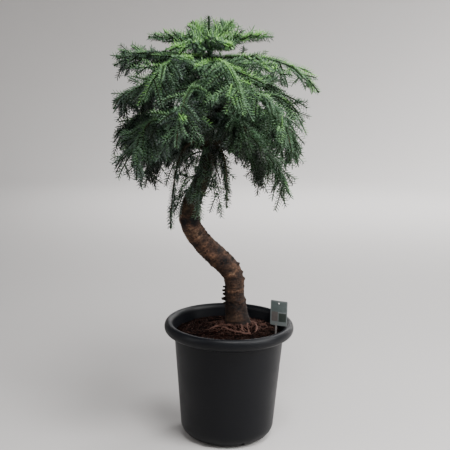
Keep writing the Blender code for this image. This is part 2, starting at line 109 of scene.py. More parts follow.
def newFinish(name, colour=(0.5, 0.5, 0.5), roughness=0.5, specular=0.5):
    made = bpy.data.materials.new(name)
    made.use_nodes = True
    shader = made.node_tree.nodes["Principled BSDF"]
    shader.inputs["Base Color"].default_value = (*colour, 1)
    shader.inputs["Roughness"].default_value = roughness
    shader.inputs["Specular IOR Level"].default_value = specular
    return made, made.node_tree, shader


def addBump(tree, shader, height, distance, strength=1.0):
    bump = addNode(tree, "Bump", {"Height": height, "Distance": distance, "Strength": strength})
    tree.links.new(bump.outputs["Normal"], shader.inputs["Normal"])


def addObject(name, data):
    made = bpy.data.objects.new(name, data)
    bpy.context.scene.collection.objects.link(made)
    return made


def mottledFinish(name, stops, grain, bumpDepth, roughness, specular):
    # one noise, given as its scale, detail and roughness, sets both tone and bumps
    finish, tree, shader = newFinish(name, roughness=roughness, specular=specular)
    tone = addNoise(tree, addNode(tree, "TexCoord").outputs["Object"], *grain)
    tree.links.new(addRamp(tree, tone, stops), shader.inputs["Base Color"])
    addBump(tree, shader, tone, bumpDepth)
    return finish


def addPiece(name, mesh, finish, replaced=(), smoothAngle=None):
    piece = addObject(name, mesh)
    mesh.materials.append(finish)
    if smoothAngle:
        mesh.shade_smooth()
        mesh.set_sharp_from_angle(angle=math.radians(smoothAngle))
    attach(piece, "root")
    if replaced:
        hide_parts(*replaced)
    return piece


def toMesh(name, bm):
    mesh = bpy.data.meshes.new(name)
    bm.to_mesh(mesh)
    bm.free()
    return mesh


def cutAway(piece, name, tool):
    # cut a closed shape out of a piece, and keep the result as its mesh
    cutter = addObject(name, toMesh(name, tool))
    cut = piece.modifiers.new(name, "BOOLEAN")
    cut.operation = "DIFFERENCE"
    cut.object = cutter
    graph = bpy.context.evaluated_depsgraph_get()
    mesh = bpy.data.meshes.new_from_object(piece.evaluated_get(graph))
    piece.modifiers.clear()
    piece.data = mesh
    bpy.data.objects.remove(cutter)
    return mesh


def ball(subdivisions):
    bm = bmesh.new()
    bmesh.ops.create_icosphere(bm, subdivisions=subdivisions, radius=0.5)
    return bm


def toArrays(bm):
    # corners and triangles of a small shape, for scatter
    bmesh.ops.triangulate(bm, faces=bm.faces)
    bmesh.ops.recalc_face_normals(bm, faces=bm.faces)
    bm.verts.index_update()
    corners = np.array([vert.co for vert in bm.verts])
    faces = np.array([[vert.index for vert in face.verts] for face in bm.faces])
    bm.free()
    return corners, faces


def scatter(name, shape, places, turns, sizes):
    # one mesh of many copies: turns holds each copy's X, Y and Z axes as rows
    corners, faces = shape
    points = np.einsum("kni,kij->knj", corners[None] * sizes[:, None], turns) + places[:, None]
    loops = (faces[None] + (np.arange(len(places)) * len(corners))[:, None, None]).ravel()
    mesh = bpy.data.meshes.new(name)
    mesh.vertices.add(len(places) * len(corners))
    mesh.vertices.foreach_set("co", points.astype(np.float32).ravel())
    mesh.loops.add(len(loops))
    mesh.loops.foreach_set("vertex_index", loops.astype(np.int32))
    mesh.polygons.add(len(loops) // 3)
    mesh.polygons.foreach_set("loop_start", np.arange(0, len(loops), 3, dtype=np.int32))
    mesh.update(calc_edges=True)
    return mesh


def rods(name, lines, radii):
    # many slim round lines as one mesh
    curve = bpy.data.curves.new(name, "CURVE")
    curve.dimensions = "3D"
    curve.bevel_depth = 1.0
    curve.bevel_resolution = 0
    curve.use_fill_caps = True
    for line, (thick, thin) in zip(lines, radii):
        spline = curve.splines.new("POLY")
        spline.points.add(len(line) - 1)
        spline.points.foreach_set("co", np.c_[line, np.ones(len(line))].ravel())
        spline.points.foreach_set("radius", np.linspace(thick, thin, len(line)))
    guide = addObject(name, curve)
    graph = bpy.context.evaluated_depsgraph_get()
    mesh = bpy.data.meshes.new_from_object(guide.evaluated_get(graph))
    bpy.data.objects.remove(guide)
    return mesh


def smoothLine(points, steps):
    # Catmull-Rom through points of any size, steps between two of them
    points = np.array(points, float)
    padded = np.vstack((2 * points[0] - points[1], points, 2 * points[-1] - points[-2]))
    t = (np.arange(steps) / steps)[:, None]
    line = []
    for a, b, c, d in zip(padded, padded[1:], padded[2:], padded[3:]):
        line.append(0.5 * (2 * b + (c - a) * t + (2 * a - 5 * b + 4 * c - d) * t**2
                           + (3 * b - a - 3 * c + d) * t**3))
    return np.vstack((*line, points[-1]))


def bendLine(start, bend, end, steps):
    t = np.linspace(0, 1, steps + 1)[:, None]
    return np.array(start) * (1 - t)**2 + np.array(bend) * 2 * t * (1 - t) + np.array(end) * t**2


def lengthsAlong(line):
    steps = np.linalg.norm(np.diff(line, axis=0), axis=1)
    return np.concatenate(([0], np.cumsum(steps)))


def pointsAt(line, shares):
    lengths = lengthsAlong(line)
    wanted = np.asarray(shares) * lengths[-1]
    return np.stack([np.interp(wanted, lengths, line[:, k]) for k in range(3)], axis=-1)


def unit(vectors):
    return vectors / np.linalg.norm(vectors, axis=-1, keepdims=True)


def axesAlong(line):
    # per point: its side, across and along axes, turned as little as possible on the way
    along = unit(np.gradient(line, axis=0))
    sides = []
    side = np.cross(along[0], (0, 0, 1)) if abs(along[0][2]) < 0.9 else np.array((1.0, 0, 0))
    for way in along:
        side = unit(side - way * side.dot(way))
        sides.append(side)
    sides = np.array(sides)
    return sides, np.cross(along, sides), along


def axesAt(wanted, places, line):
    # the axes of a line whose points stand at the given places, read at the wanted ones
    return [unit(np.stack([np.interp(wanted, places, axes[:, k]) for k in range(3)], axis=1))
            for axes in axesAlong(line)]


def sweepTube(bm, line, radii, sides):
    # extrude a ring along a line, and give back the rings
    frames = []
    for point, axes in zip(line, np.stack(axesAlong(line), axis=1)):
        turned = Matrix(axes.tolist()).transposed().to_4x4()
        turned.translation = point
        frames.append(turned)
    ring = bmesh.ops.create_circle(bm, cap_ends=True, segments=sides, radius=radii[0],
                                   matrix=frames[0])["verts"]
    edges = list({edge for vert in ring for edge in vert.link_edges})
    rings = [ring]
    for number in range(1, len(frames)):
        new = bmesh.ops.extrude_edge_only(bm, edges=edges)["geom"]
        ring = [item for item in new if isinstance(item, bmesh.types.BMVert)]
        inRing = set(ring)
        edges = [item for item in new if isinstance(item, bmesh.types.BMEdge)
                 and item.verts[0] in inRing and item.verts[1] in inRing]
        grow = Matrix.Scale(radii[number] / radii[number - 1], 4)
        bmesh.ops.transform(bm, matrix=frames[number] @ grow @ frames[number - 1].inverted(), verts=ring)
        rings.append(ring)
    bmesh.ops.contextual_create(bm, geom=edges)
    return rings


def turnProfile(outline, sides):
    # an outline of (radius, height) turned about the Z axis
    bm = bmesh.new()
    verts = [bm.verts.new((radius, 0, height)) for radius, height in outline]
    edges = [bm.edges.new(pair) for pair in zip(verts, verts[1:])]
    bmesh.ops.spin(bm, geom=verts + edges, axis=up, cent=(0, 0, 0), angle=math.tau,
                   steps=sides, use_merge=True)
    bmesh.ops.remove_doubles(bm, verts=bm.verts, dist=0.00002)
    bmesh.ops.recalc_face_normals(bm, faces=bm.faces)
    return bm


def arcOutline(centre, reach, first, last, steps):
    # points on an ellipse arc, angles in degrees from +radius towards +height
    angles = np.radians(np.linspace(first, last, steps + 1))
    return [(centre[0] + reach[0] * math.cos(a), centre[1] + reach[1] * math.sin(a)) for a in angles]


# Camera

camera = {"place": (-0.0177, -3.0, 1.32), "lookDown": 12.75, "roll": 1.15, "lens": 84.9, "sensor": 36}


def makeCamera():
    data = bpy.data.cameras.new("camera")
    data.lens = camera["lens"]
    data.sensor_width = camera["sensor"]
    data.clip_end = 100
    seen = addObject("camera", data)
    tilt = Matrix.Rotation(math.radians(90 - camera["lookDown"]), 4, "X")
    roll = Matrix.Rotation(math.radians(camera["roll"]), 4, "Z")
    seen.matrix_world = Matrix.Translation(camera["place"]) @ tilt @ roll
    bpy.context.scene.camera = seen


# Pot

pot = {
    "sides": 144, "footSteps": 14,
    "rimRadius": 0.1912, "rimTop": 0.352, "rimDepth": 0.034, "rimThick": 0.0255,
    "rimArc": (-70, 180, 28),  # first and last angle, and steps
    "topRadius": 0.161, "footRadius": 0.139, "footFillet": 0.042,
    "standRing": (0.060, 0.062), "standLift": 0.0015,  # the underside is hollow inside its ring
    "collarDepth": 0.010, "collarProud": 0.0025, "collarRound": 0.0012, "collarLip": 0.0006,
    "rimGroove": 0.001,
    "wall": 0.0026,
    "drains": 6, "drainRadius": 0.0055, "drainTurn": -8, "drainSlant": 45, "drillLength": 0.020,
    "colour": (0.0024, 0.0028, 0.0040), "dusty": (0.0056, 0.0060, 0.0070), "dustTop": 0.07,
    "roughness": 0.42, "roughRange": (0.36, 0.50), "specular": 0.17,
}


def potWall(height):
    under = pot["rimTop"] - pot["rimDepth"] - pot["collarDepth"]
    share = (height - pot["footFillet"]) / (under - pot["footFillet"])
    return pot["footRadius"] + (pot["topRadius"] - pot["footRadius"]) * share


def footArc(inset, steps):
    middle = (pot["footRadius"] - pot["footFillet"], pot["footFillet"])
    reach = pot["footFillet"] - inset
    return arcOutline(middle, (reach, reach), -90, 0, steps)


def potFinish():
    finish, tree, shader = newFinish("pot plastic", roughness=pot["roughness"], specular=pot["specular"])
    spots = addNode(tree, "TexCoord").outputs["Object"]
    cloud = addNoise(tree, spots, 9.0, 5.0, 0.6)
    height = addNode(tree, "SeparateXYZ", {"Vector": spots}).outputs["Z"]
    low = addRange(tree, height, pot["dustTop"], 0.0)
    dust = addNode(tree, "Math", {0: cloud, 1: low}, operation="MULTIPLY").outputs[0]
    specks = addNoise(tree, spots, 260.0, 3.0)
    grey = addRamp(tree, specks, ((0.35, pot["colour"]), (0.75, scaled(pot["colour"], 1.35))))
    tree.links.new(blendColours(tree, dust, grey, pot["dusty"]), shader.inputs["Base Color"])
    tree.links.new(addRange(tree, cloud, 0.3, 0.7, *pot["roughRange"]), shader.inputs["Roughness"])
    addBump(tree, shader, addNoise(tree, spots, 1400.0, 2.0), 0.00012, 0.5)
    return finish


def potOutline():
    # up the outside from the middle of the underside, over the rim and down the inside
    underRim = pot["rimTop"] - pot["rimDepth"]
    collar = underRim - pot["collarDepth"]
    proud = pot["topRadius"] + pot["collarProud"]
    bead, lip, groove = pot["collarRound"], pot["collarLip"], pot["rimGroove"]
    inner, outer = pot["standRing"]
    middle = (pot["rimRadius"] - pot["rimThick"] / 2, pot["rimTop"] - pot["rimDepth"] / 2)
    rim = arcOutline(middle, (pot["rimThick"] / 2, pot["rimDepth"] / 2), *pot["rimArc"])
    return [(0, pot["standLift"]), (inner, pot["standLift"]), (outer, 0), *footArc(0, pot["footSteps"]),
            (pot["topRadius"], collar), (proud - bead, collar + lip), (proud, collar + lip + bead),
            (proud, underRim - groove), (proud + groove, underRim), *rim,
            (potWall(collar) - pot["wall"], collar), *reversed(footArc(pot["wall"], pot["footSteps"])),
            (0, pot["wall"])]


def makePot():
    shell = turnProfile(potOutline(), pot["sides"])
    piece = addPiece("nursery_pot", toMesh("nursery_pot", shell), potFinish(),
                     ["pot"], 32)
    drill = bmesh.new()
    slant = math.radians(pot["drainSlant"])
    reach = pot["footRadius"] - pot["footFillet"] * (1 - math.sin(slant))
    lift = pot["footFillet"] * (1 - math.cos(slant))
    aim = Matrix.Rotation(math.radians(180 - pot["drainSlant"]), 4, "Y")
    tilt = Matrix.Translation((reach, 0, lift)) @ aim
    for number in range(pot["drains"]):
        around = math.radians(pot["drainTurn"]) + math.tau * number / pot["drains"]
        bmesh.ops.create_cone(drill, cap_ends=True, segments=28, radius1=pot["drainRadius"],
                              radius2=pot["drainRadius"], depth=pot["drillLength"],
                              matrix=Matrix.Rotation(around, 4, "Z") @ tilt)
    holed = cutAway(piece, "drains", drill)
    print("pot:", len(holed.polygons), "faces")


# Soil

soil = {
    "seed": 7,
    "top": 0.325, "edge": 0.315, "flat": 0.115, "rough": 0.0022,
    "sides": 120, "rings": 34, "gap": 0.0003,
    "mound": (0.030, 0.012, 0.058, 0.017),  # heaped round the trunk: its middle, width and height
    # spreads are shares of the way to the pot's wall
    "chips": 2600, "chip": (0.0035, 0.0115), "chipLift": (-0.0006, 0.0016), "chipSpread": 0.975,
    "fewLarge": 2.2,  # the higher, the fewer of the chips are large
    "fibres": 520, "fibre": (0.012, 0.040), "fibreSteps": 5, "fibreThick": (0.0003, 0.0008),
    "fibreThin": 0.0002, "fibreLift": (0.0002, 0.0022), "fibreArch": 0.0012, "fibreTurn": 0.55,
    "fibreSpread": 0.95, "fibreEdge": 0.985,
    "crumbs": ((0.36, (0.002, 0.001, 0.001)), (0.52, (0.0022, 0.0010, 0.0008)),
               (0.66, (0.008, 0.0036, 0.0025))),
    "chipColours": {"dark": (0.0018, 0.0009, 0.0007), "red": (0.0058, 0.0017, 0.0011),
                    "brown": (0.0080, 0.0034, 0.0023), "pale": (0.045, 0.025, 0.020)},
    "chipDeal": (0.48, 0.27, 0.21, 0.04),
    "fibreColour": (0.023, 0.010, 0.007),
}


def soilHeight(x, y):
    radius = math.hypot(x, y)
    rim = potWall(soil["edge"]) - pot["wall"]
    slope = min(max((radius - soil["flat"]) / (rim - soil["flat"]), 0), 1)
    bumps = noise.noise(Vector((x, y, 0)) * 34) * 0.6 + noise.noise(Vector((x, y, 1)) * 110) * 0.4
    middleX, middleY, width, height = soil["mound"]
    heap = height * math.exp(-((x - middleX)**2 + (y - middleY)**2) / width**2)
    return soil["top"] + (soil["edge"] - soil["top"]) * slope + heap + bumps * soil["rough"]


def chipFinish(name, colour, specular=0.12):
    stops = ((0.34, scaled(colour, 0.55)), (0.68, scaled(colour, 1.4)))
    return mottledFinish(name, stops, (320.0, 6.0), 0.0004, 0.85, specular)


def makeSoil():
    inset = pot["wall"] + soil["gap"]
    rim = potWall(soil["edge"]) - inset
    outline = [(0, inset), *footArc(inset, 8), (rim, soil["edge"] - 0.006),
               *((rim * step / soil["rings"], soil["edge"]) for step in range(soil["rings"], -1, -1))]
    bm = turnProfile(outline, soil["sides"])
    for vert in bm.verts:
        if vert.co.z > soil["edge"] - 0.001:
            vert.co.z = soilHeight(vert.co.x, vert.co.y)
    finish = mottledFinish("soil mix", soil["crumbs"], (210.0, 8.0, 0.7), 0.0012, 0.95, 0.02)
    addPiece("soil_bed", toMesh("soil_bed", bm), finish, ["soil"], 60)
    rng = np.random.default_rng(soil["seed"])
    makeChips(rim, rng)
    makeFibres(rim, rng)


def makeChips(rim, rng):
    lump = ball(1)
    for vert in lump.verts:
        vert.co *= rng.uniform(0.72, 1.25)
    shape = toArrays(lump)
    colours = list(soil["chipColours"].items())
    count = soil["chips"]
    radius = rim * np.sqrt(rng.uniform(0, 1, count)) * soil["chipSpread"]
    angle = rng.uniform(0, math.tau, count)
    x, y = radius * np.cos(angle), radius * np.sin(angle)
    z = np.array([soilHeight(*spot) for spot in zip(x, y)]) + rng.uniform(*soil["chipLift"], count)
    small, large = soil["chip"]
    size = small + (large - small) * rng.uniform(0, 1, count)**soil["fewLarge"]
    wide, high = rng.uniform(0.45, 0.9, count), rng.uniform(0.25, 0.5, count)
    sizes = np.stack((size, size * wide, size * high), axis=1)
    first = unit(np.stack((np.cos(angle * 7), np.sin(angle * 7), rng.normal(0, 0.28, count)), axis=1))
    third = unit(np.stack((rng.normal(0, 0.3, count), rng.normal(0, 0.3, count), np.ones(count)), axis=1))
    second = unit(np.cross(third, first))
    turns = np.stack((first, second, np.cross(first, second)), axis=1)
    dealt = rng.choice(len(colours), count, p=soil["chipDeal"])
    for number, (name, colour) in enumerate(colours):
        mine = dealt == number
        places = np.stack((x, y, z), axis=1)[mine]
        mesh = scatter(f"soil_chips_{name}", shape, places, turns[mine], sizes[mine])
        addPiece(f"soil_chips_{name}", mesh, chipFinish(f"chips {name}", colour, 0.02))
    print("soil:", count, "chips")


def makeFibres(rim, rng):
    lines, radii = [], []
    steps = soil["fibreSteps"]
    for _ in range(soil["fibres"]):
        away = rim * soil["fibreSpread"] * math.sqrt(rng.uniform(0, 1))
        turn = rng.uniform(0, math.tau)
        start = np.array((away * math.cos(turn), away * math.sin(turn)))
        heading = rng.uniform(0, math.tau)
        reach = rng.uniform(*soil["fibre"])
        route = [start]
        for _ in range(steps):
            heading += rng.normal(0, soil["fibreTurn"])
            route.append(route[-1] + reach / steps * np.array((math.cos(heading), math.sin(heading))))
        route = [spot for spot in route if np.hypot(*spot) < rim * soil["fibreEdge"]]
        if len(route) > 3:
            lift = rng.uniform(*soil["fibreLift"])
            lines.append(np.array([(*spot, soilHeight(*spot) + lift + soil["fibreArch"] * math.sin(i * 1.3))
                                   for i, spot in enumerate(route)]))
            radii.append((rng.uniform(*soil["fibreThick"]), soil["fibreThin"]))
    addPiece("soil_fibres", rods("soil_fibres", lines, radii),
             chipFinish("fibres", soil["fibreColour"]))
    print("soil:", len(lines), "fibres")


# Plant label

label = {
    "foot": (0.1435, -0.044), "turn": -22, "width": 0.0515, "bottom": 0.3535, "top": 0.4285,
    "thick": 0.0009, "corner": 0.0035, "hole": 0.0022, "holeDrop": 0.008, "punchLength": 0.02,
    "stakeWidth": 0.0055, "stakeDepth": 0.030, "stakeShift": -0.007, "stakeLap": 0.006, "bow": 0.0016,
    "card": (0.125, 0.140, 0.138), "stake": (0.17, 0.155, 0.15),
    # plain panels on the front as (left, right, bottom, top) shares of the card
    "panels": (("label teal", (0.07, 0.94, 0.55, 0.95), (0.070, 0.088, 0.086)),
               ("label beige", (0.07, 0.46, 0.16, 0.55), (0.085, 0.075, 0.070)),
               ("label green", (0.50, 0.94, 0.16, 0.50), (0.022, 0.030, 0.025))),
}


def cardFinish(name, colour):
    stops = ((0.30, scaled(colour, 0.82)), (0.60, colour))
    return mottledFinish(name, stops, (120.0, 5.0), 0.0001, 0.42, 0.5)


def labelCard():
    half = label["width"] / 2
    tall = label["top"] - label["bottom"]
    bm = bmesh.new()
    bmesh.ops.create_grid(bm, x_segments=1, y_segments=1, size=0.5)
    bmesh.ops.scale(bm, vec=(label["width"], tall, 1), verts=bm.verts)
    bmesh.ops.bevel(bm, geom=bm.verts[:], offset=label["corner"], segments=4, profile=0.5,
                    affect="VERTICES", material=-1)
    # cuts round the panels, and a few more so that the card can bow
    cuts = {(0, share) for _, (left, right, _, _), _ in label["panels"] for share in (left, right)}
    cuts |= {(1, share) for _, (_, _, low, high), _ in label["panels"] for share in (low, high)}
    cuts |= {(0, 0.5), (0, 0.25), (0, 0.75), (1, 0.4), (1, 0.8)}
    for axis, share in sorted(cuts):
        size = (label["width"], tall)[axis]
        normal = (1, 0, 0) if axis == 0 else (0, 1, 0)
        bmesh.ops.bisect_plane(bm, geom=bm.verts[:] + bm.edges[:] + bm.faces[:], dist=1e-6,
                               plane_co=Vector(normal) * (share - 0.5) * size, plane_no=normal)
    bmesh.ops.solidify(bm, geom=bm.faces[:], thickness=label["thick"])
    bmesh.ops.rotate(bm, matrix=Matrix.Rotation(math.radians(90), 3, "X"), verts=bm.verts)
    bmesh.ops.translate(bm, vec=(0, 0, (label["bottom"] + label["top"]) / 2), verts=bm.verts)
    bmesh.ops.recalc_face_normals(bm, faces=bm.faces)
    for face in bm.faces:
        middle = face.calc_center_median()
        across = middle.x / label["width"] + 0.5
        height = (middle.z - label["bottom"]) / tall
        for number, (_, (left, right, low, high), _) in enumerate(label["panels"], 1):
            if face.normal.y < -0.9 and left < across < right and low < height < high:
                face.material_index = number
    for vert in bm.verts:
        vert.co.y += label["bow"] * (vert.co.x / half)**2
    return bm


def labelStake():
    bm = bmesh.new()
    bmesh.ops.create_cube(bm, size=1)
    bottom, top = soil["top"] - label["stakeDepth"], label["bottom"] + label["stakeLap"]
    bmesh.ops.scale(bm, vec=(label["stakeWidth"], label["thick"] * 0.9, top - bottom), verts=bm.verts)
    bmesh.ops.translate(bm, vec=(label["stakeShift"], label["thick"] * 0.6, (top + bottom) / 2),
                        verts=bm.verts)
    edges = [edge for edge in bm.edges if edge.calc_length() > 0.02]
    bmesh.ops.bevel(bm, geom=edges, offset=0.0003, segments=2, profile=0.5, affect="EDGES", material=-1)
    return bm


def makeLabel():
    place = Matrix.Translation((*label["foot"], 0)) @ Matrix.Rotation(math.radians(label["turn"]), 4, "Z")
    face, stake = labelCard(), labelStake()
    for part in (face, stake):
        bmesh.ops.transform(part, matrix=place, verts=part.verts)
    card = addPiece("label_card", toMesh("label_card", face), cardFinish("label card", label["card"]),
                    ["plant_label"], 40)
    for name, _, colour in label["panels"]:
        card.data.materials.append(cardFinish(name, colour))
    punch = bmesh.new()
    hole = Matrix.Translation((0, 0, label["top"] - label["holeDrop"]))
    aim = hole @ Matrix.Rotation(math.radians(90), 4, "X")
    bmesh.ops.create_cone(punch, cap_ends=True, segments=24, radius1=label["hole"], radius2=label["hole"],
                          depth=label["punchLength"], matrix=place @ aim)
    punched = cutAway(card, "hole", punch)
    addPiece("label_stake", toMesh("label_stake", stake), cardFinish("label stake", label["stake"]),
             smoothAngle=40)
    print("label:", len(punched.polygons), "faces")


# Trunk and boughs

trunk = {
    # centre line from the soil to the leader's tip as (x, y, z, diameter)
    "route": ((0.030, 0.032, 0.295, 0.082), (0.024, 0.031, 0.352, 0.070), (0.015, 0.028, 0.420, 0.059),
              (0.012, 0.025, 0.472, 0.058), (-0.008, 0.021, 0.512, 0.062), (-0.063, 0.012, 0.566, 0.062),
              (-0.105, 0.004, 0.616, 0.057), (-0.121, 0.000, 0.664, 0.061), (-0.112, -0.001, 0.716, 0.052),
              (-0.088, -0.001, 0.768, 0.048), (-0.072, 0.000, 0.828, 0.045), (-0.066, 0.001, 0.874, 0.034),
              (-0.067, 0.002, 0.950, 0.022), (-0.072, 0.001, 1.050, 0.0155), (-0.071, 0.000, 1.145, 0.0100),
              (-0.074, 0.000, 1.231, 0.0044)),
    "steps": 26, "sides": 80,
    "flareHeight": 0.045, "flareLobes": 5, "flareWidth": 0.13, "flareAllRound": 0.4, "sunk": 0.012,
    "lump": 0.0015, "crack": 0.0011, "grain": 0.0005, "band": 0.0009, "bandPitch": 0.030,
    "reliefSpan": 0.0032,  # relief that takes the bark's tone from dark to light: cracks are partly dark bark, partly painted shade, and raised bark gets painted light
    "fullRelief": 0.012,  # wood under this radius has less of it
    # knots, plates and nubs as (x, y, z, width, rise, tone)
    "knots": ((-0.139, -0.025, 0.654, 0.0085, -0.0060, -2.5), (-0.109, -0.029, 0.660, 0.0085, -0.0050, -2.5),
              (-0.088, -0.016, 0.839, 0.0090, 0.0025, 0.0), (-0.058, -0.022, 0.561, 0.0150, 0.0004, 0.85),
              (-0.074, -0.025, 0.578, 0.0140, 0.0003, 0.70), (-0.018, -0.012, 0.533, 0.0130, -0.0008, -0.6),
              (0.017, -0.008, 0.515, 0.0110, 0.0004, 0.35), (-0.126, -0.028, 0.639, 0.0120, 0.0003, 0.30),
              (-0.080, -0.020, 0.597, 0.0080, -0.0006, -0.5), (-0.090, -0.020, 0.620, 0.0090, 0.0012, -0.4),
              (0.010, -0.006, 0.392, 0.0080, 0.0020, -0.2), (-0.009, 0.008, 0.556, 0.0050, 0.0075, -0.6),
              (0.008, 0.009, 0.541, 0.0050, 0.0060, -0.6), (0.022, 0.015, 0.521, 0.0055, 0.0075, -0.6),
              (0.032, 0.018, 0.496, 0.0050, 0.0060, -0.5), (0.038, 0.020, 0.476, 0.0050, 0.0065, -0.5),
              (0.044, 0.026, 0.409, 0.0050, 0.0050, -0.5), (-0.065, 0.008, 0.538, 0.0055, 0.0065, -0.5),
              (-0.051, 0.012, 0.519, 0.0055, 0.0065, -0.5), (-0.087, 0.000, 0.636, 0.0046, 0.0050, -0.5),
              (-0.080, 0.000, 0.628, 0.0046, 0.0055, -0.5), (-0.072, 0.000, 0.619, 0.0046, 0.0050, -0.5),
              (-0.063, 0.000, 0.610, 0.0046, 0.0050, -0.5)),
    # short dead stubs as (x, y, z, lean up, length)
    "stubs": ((-0.013, 0.024, 0.448, 0.2, 0.009), (-0.013, 0.019, 0.441, -0.4, 0.011),
              (-0.014, 0.026, 0.436, 0.3, 0.010), (-0.013, 0.019, 0.430, -0.2, 0.009),
              (-0.014, 0.026, 0.424, 0.5, 0.008), (-0.013, 0.021, 0.416, -0.2, 0.014),
              (-0.013, 0.024, 0.409, 0.3, 0.012), (-0.012, 0.020, 0.401, -0.3, 0.008)),
    "stubRadius": 0.0034, "stubTaper": 0.85, "stubColour": (0.012, 0.008, 0.006),
    # loose scales of bark
    "flakes": 420, "flake": (0.0035, 0.0085), "flakeTop": 0.72, "flakeColour": (0.030, 0.017, 0.012),
    "seed": 3,
}


def trunkAt(height):
    line = smoothLine(trunk["route"], 12)
    return np.array([np.interp(height, line[:, 2], line[:, k]) for k in range(4)])


# bark colours as ramps of (place, colour), and the heights in metres between which they change
bark = {
    "patches": ((0.34, (0.010, 0.006, 0.0045)), (0.46, (0.036, 0.019, 0.012)),
                (0.58, (0.078, 0.043, 0.026)), (0.70, (0.150, 0.095, 0.060))),
    "flakes": ((0.36, (0.35, 0.33, 0.32)), (0.60, (1.15, 1.12, 1.1))), "flakeShare": 0.85,
    "rings": ((0.36, (0.38, 0.35, 0.33)), (0.52, (1.1, 1.08, 1.05))), "ringShare": 0.65,
    "ringsPerMetre": 105.0,
    # painted shade: the bark darkens towards the soil
    "lowShade": ((0.0, (0.17, 0.15, 0.14)), (1.0, (1.0, 1.0, 1.0))), "lowShadeBand": (0.34, 0.48),
    "green": ((0.32, (0.010, 0.012, 0.007)), (0.66, (0.062, 0.060, 0.034))), "greenBand": (0.665, 0.735),
    "greenShare": 0.78,
    "leafy": ((0.32, (0.006, 0.016, 0.006)), (0.66, (0.024, 0.058, 0.020))), "leafyBand": (0.98, 1.06),
    "reliefShading": ((0.0, (0.04, 0.03, 0.03)), (0.08, (0.20, 0.18, 0.17)),
               (0.50, (0.92, 0.91, 0.90)), (1.0, (1.9, 1.8, 1.7))), "reliefShadingShare": 0.95,
}


def barkFinish(name):
    finish, tree, shader = newFinish(name, roughness=0.82, specular=0.25)
    spots = addNode(tree, "TexCoord").outputs["Object"]
    height = addNode(tree, "SeparateXYZ", {"Vector": spots}).outputs["Z"]
    along = addNode(tree, "Attribute", attribute_name="along").outputs["Fac"]
    relief = addNode(tree, "Attribute", attribute_name="relief").outputs["Fac"]
    flakes = addNoise(tree, spots, 170.0, 8.0, 0.7)
    colour = addRamp(tree, addNoise(tree, spots, 24.0, 7.0, 0.62), bark["patches"])
    mottle = addRamp(tree, flakes, bark["flakes"])
    colour = blendColours(tree, bark["flakeShare"], colour, mottle, "MULTIPLY")
    ringPlace = addNode(tree, "Math", {0: along, 1: bark["ringsPerMetre"]}, operation="MULTIPLY").outputs[0]
    rings = addNode(tree, "TexNoise", {"W": ringPlace, "Scale": 1.0, "Detail": 4.0}, noise_dimensions="1D")
    ringTone = addRamp(tree, rings.outputs["Fac"], bark["rings"])
    colour = blendColours(tree, bark["ringShare"], colour, ringTone, "MULTIPLY")
    # painted shade, darker towards the soil
    lowShade = addRamp(tree, addRange(tree, height, *bark["lowShadeBand"]), bark["lowShade"])
    colour = blendColours(tree, 1.0, colour, lowShade, "MULTIPLY")
    high = addRange(tree, height, *bark["greenBand"])
    share = addNode(tree, "Math", {0: high, 1: bark["greenShare"]}, operation="MULTIPLY").outputs[0]
    colour = blendColours(tree, share, colour, addRamp(tree, flakes, bark["green"]))
    young = addRange(tree, height, *bark["leafyBand"])
    colour = blendColours(tree, young, colour, addRamp(tree, flakes, bark["leafy"]))
    # painted shade in cracks and pits and painted light on raised bark, over the bark's own darker fissures
    reliefShading = addRamp(tree, relief, bark["reliefShading"])
    colour = blendColours(tree, bark["reliefShadingShare"], colour, reliefShading, "MULTIPLY")
    tree.links.new(colour, shader.inputs["Base Color"])
    addBump(tree, shader, flakes, 0.0006)
    return finish


def barkRelief(spot, along):
    # metres outwards for a place on the skin, given round the trunk and along it
    lump = noise.noise(spot * 42) * trunk["lump"]
    plate = abs(noise.noise(Vector((spot.x * 75, spot.y * 75, spot.z * 160 + 9))))
    crack = max(1 - plate * 3.2, 0)**2 * trunk["crack"]
    grain = noise.fractal(spot * 260, 0.8, 2.1, 3) * trunk["grain"]
    band = (along / trunk["bandPitch"] + 0.30 * noise.noise(spot * 26)) % 1
    return lump - crack + grain + band**5 * trunk["band"]


def makeBark(line):
    centres, radii = line[:, :3], line[:, 3] / 2
    bm = bmesh.new()
    alongLayer = bm.verts.layers.float.new("along")
    reliefLayer = bm.verts.layers.float.new("relief")
    rings = sweepTube(bm, centres, radii, trunk["sides"])
    foot = trunkAt(soil["top"])
    for ring in rings:
        for vert in ring:
            low = 1 - (vert.co.z - soil["top"]) / trunk["flareHeight"]
            if low > 0:
                out = Vector((vert.co.x - foot[0], vert.co.y - foot[1], 0))
                lobe = 0.5 + 0.5 * math.cos(trunk["flareLobes"] * math.atan2(out.y, out.x))
                vert.co += out * trunk["flareWidth"] * min(low, 1)**2 * (trunk["flareAllRound"] + lobe)
    thin = np.clip(radii / trunk["fullRelief"], 0.15, 1)
    knots = [(Vector(knot[:3]), *knot[3:]) for knot in trunk["knots"]]
    for ring, centre, radius, along, share in zip(rings, centres, radii, lengthsAlong(centres), thin):
        centre = Vector(centre)
        for vert in ring:
            out = (vert.co - centre).normalized()
            push = barkRelief(Vector((out.x * radius, out.y * radius, out.z * radius + along)), along)
            tone = 0.5 + push / trunk["reliefSpan"]
            for middle, width, rise, change in knots:
                near = math.exp(-((vert.co - middle).length / width)**2)
                push += rise * near
                tone += change * near
            vert[alongLayer] = along
            vert[reliefLayer] = tone
            vert.co += out * push * share
    for vert in rings[0]:
        vert.co.z = soil["top"] - trunk["sunk"]
    bmesh.ops.recalc_face_normals(bm, faces=bm.faces)
    addPiece("trunk_bark", toMesh("trunk_bark", bm), barkFinish("bark"), ["trunk"], 180)
    print("trunk:", len(rings), "rings")


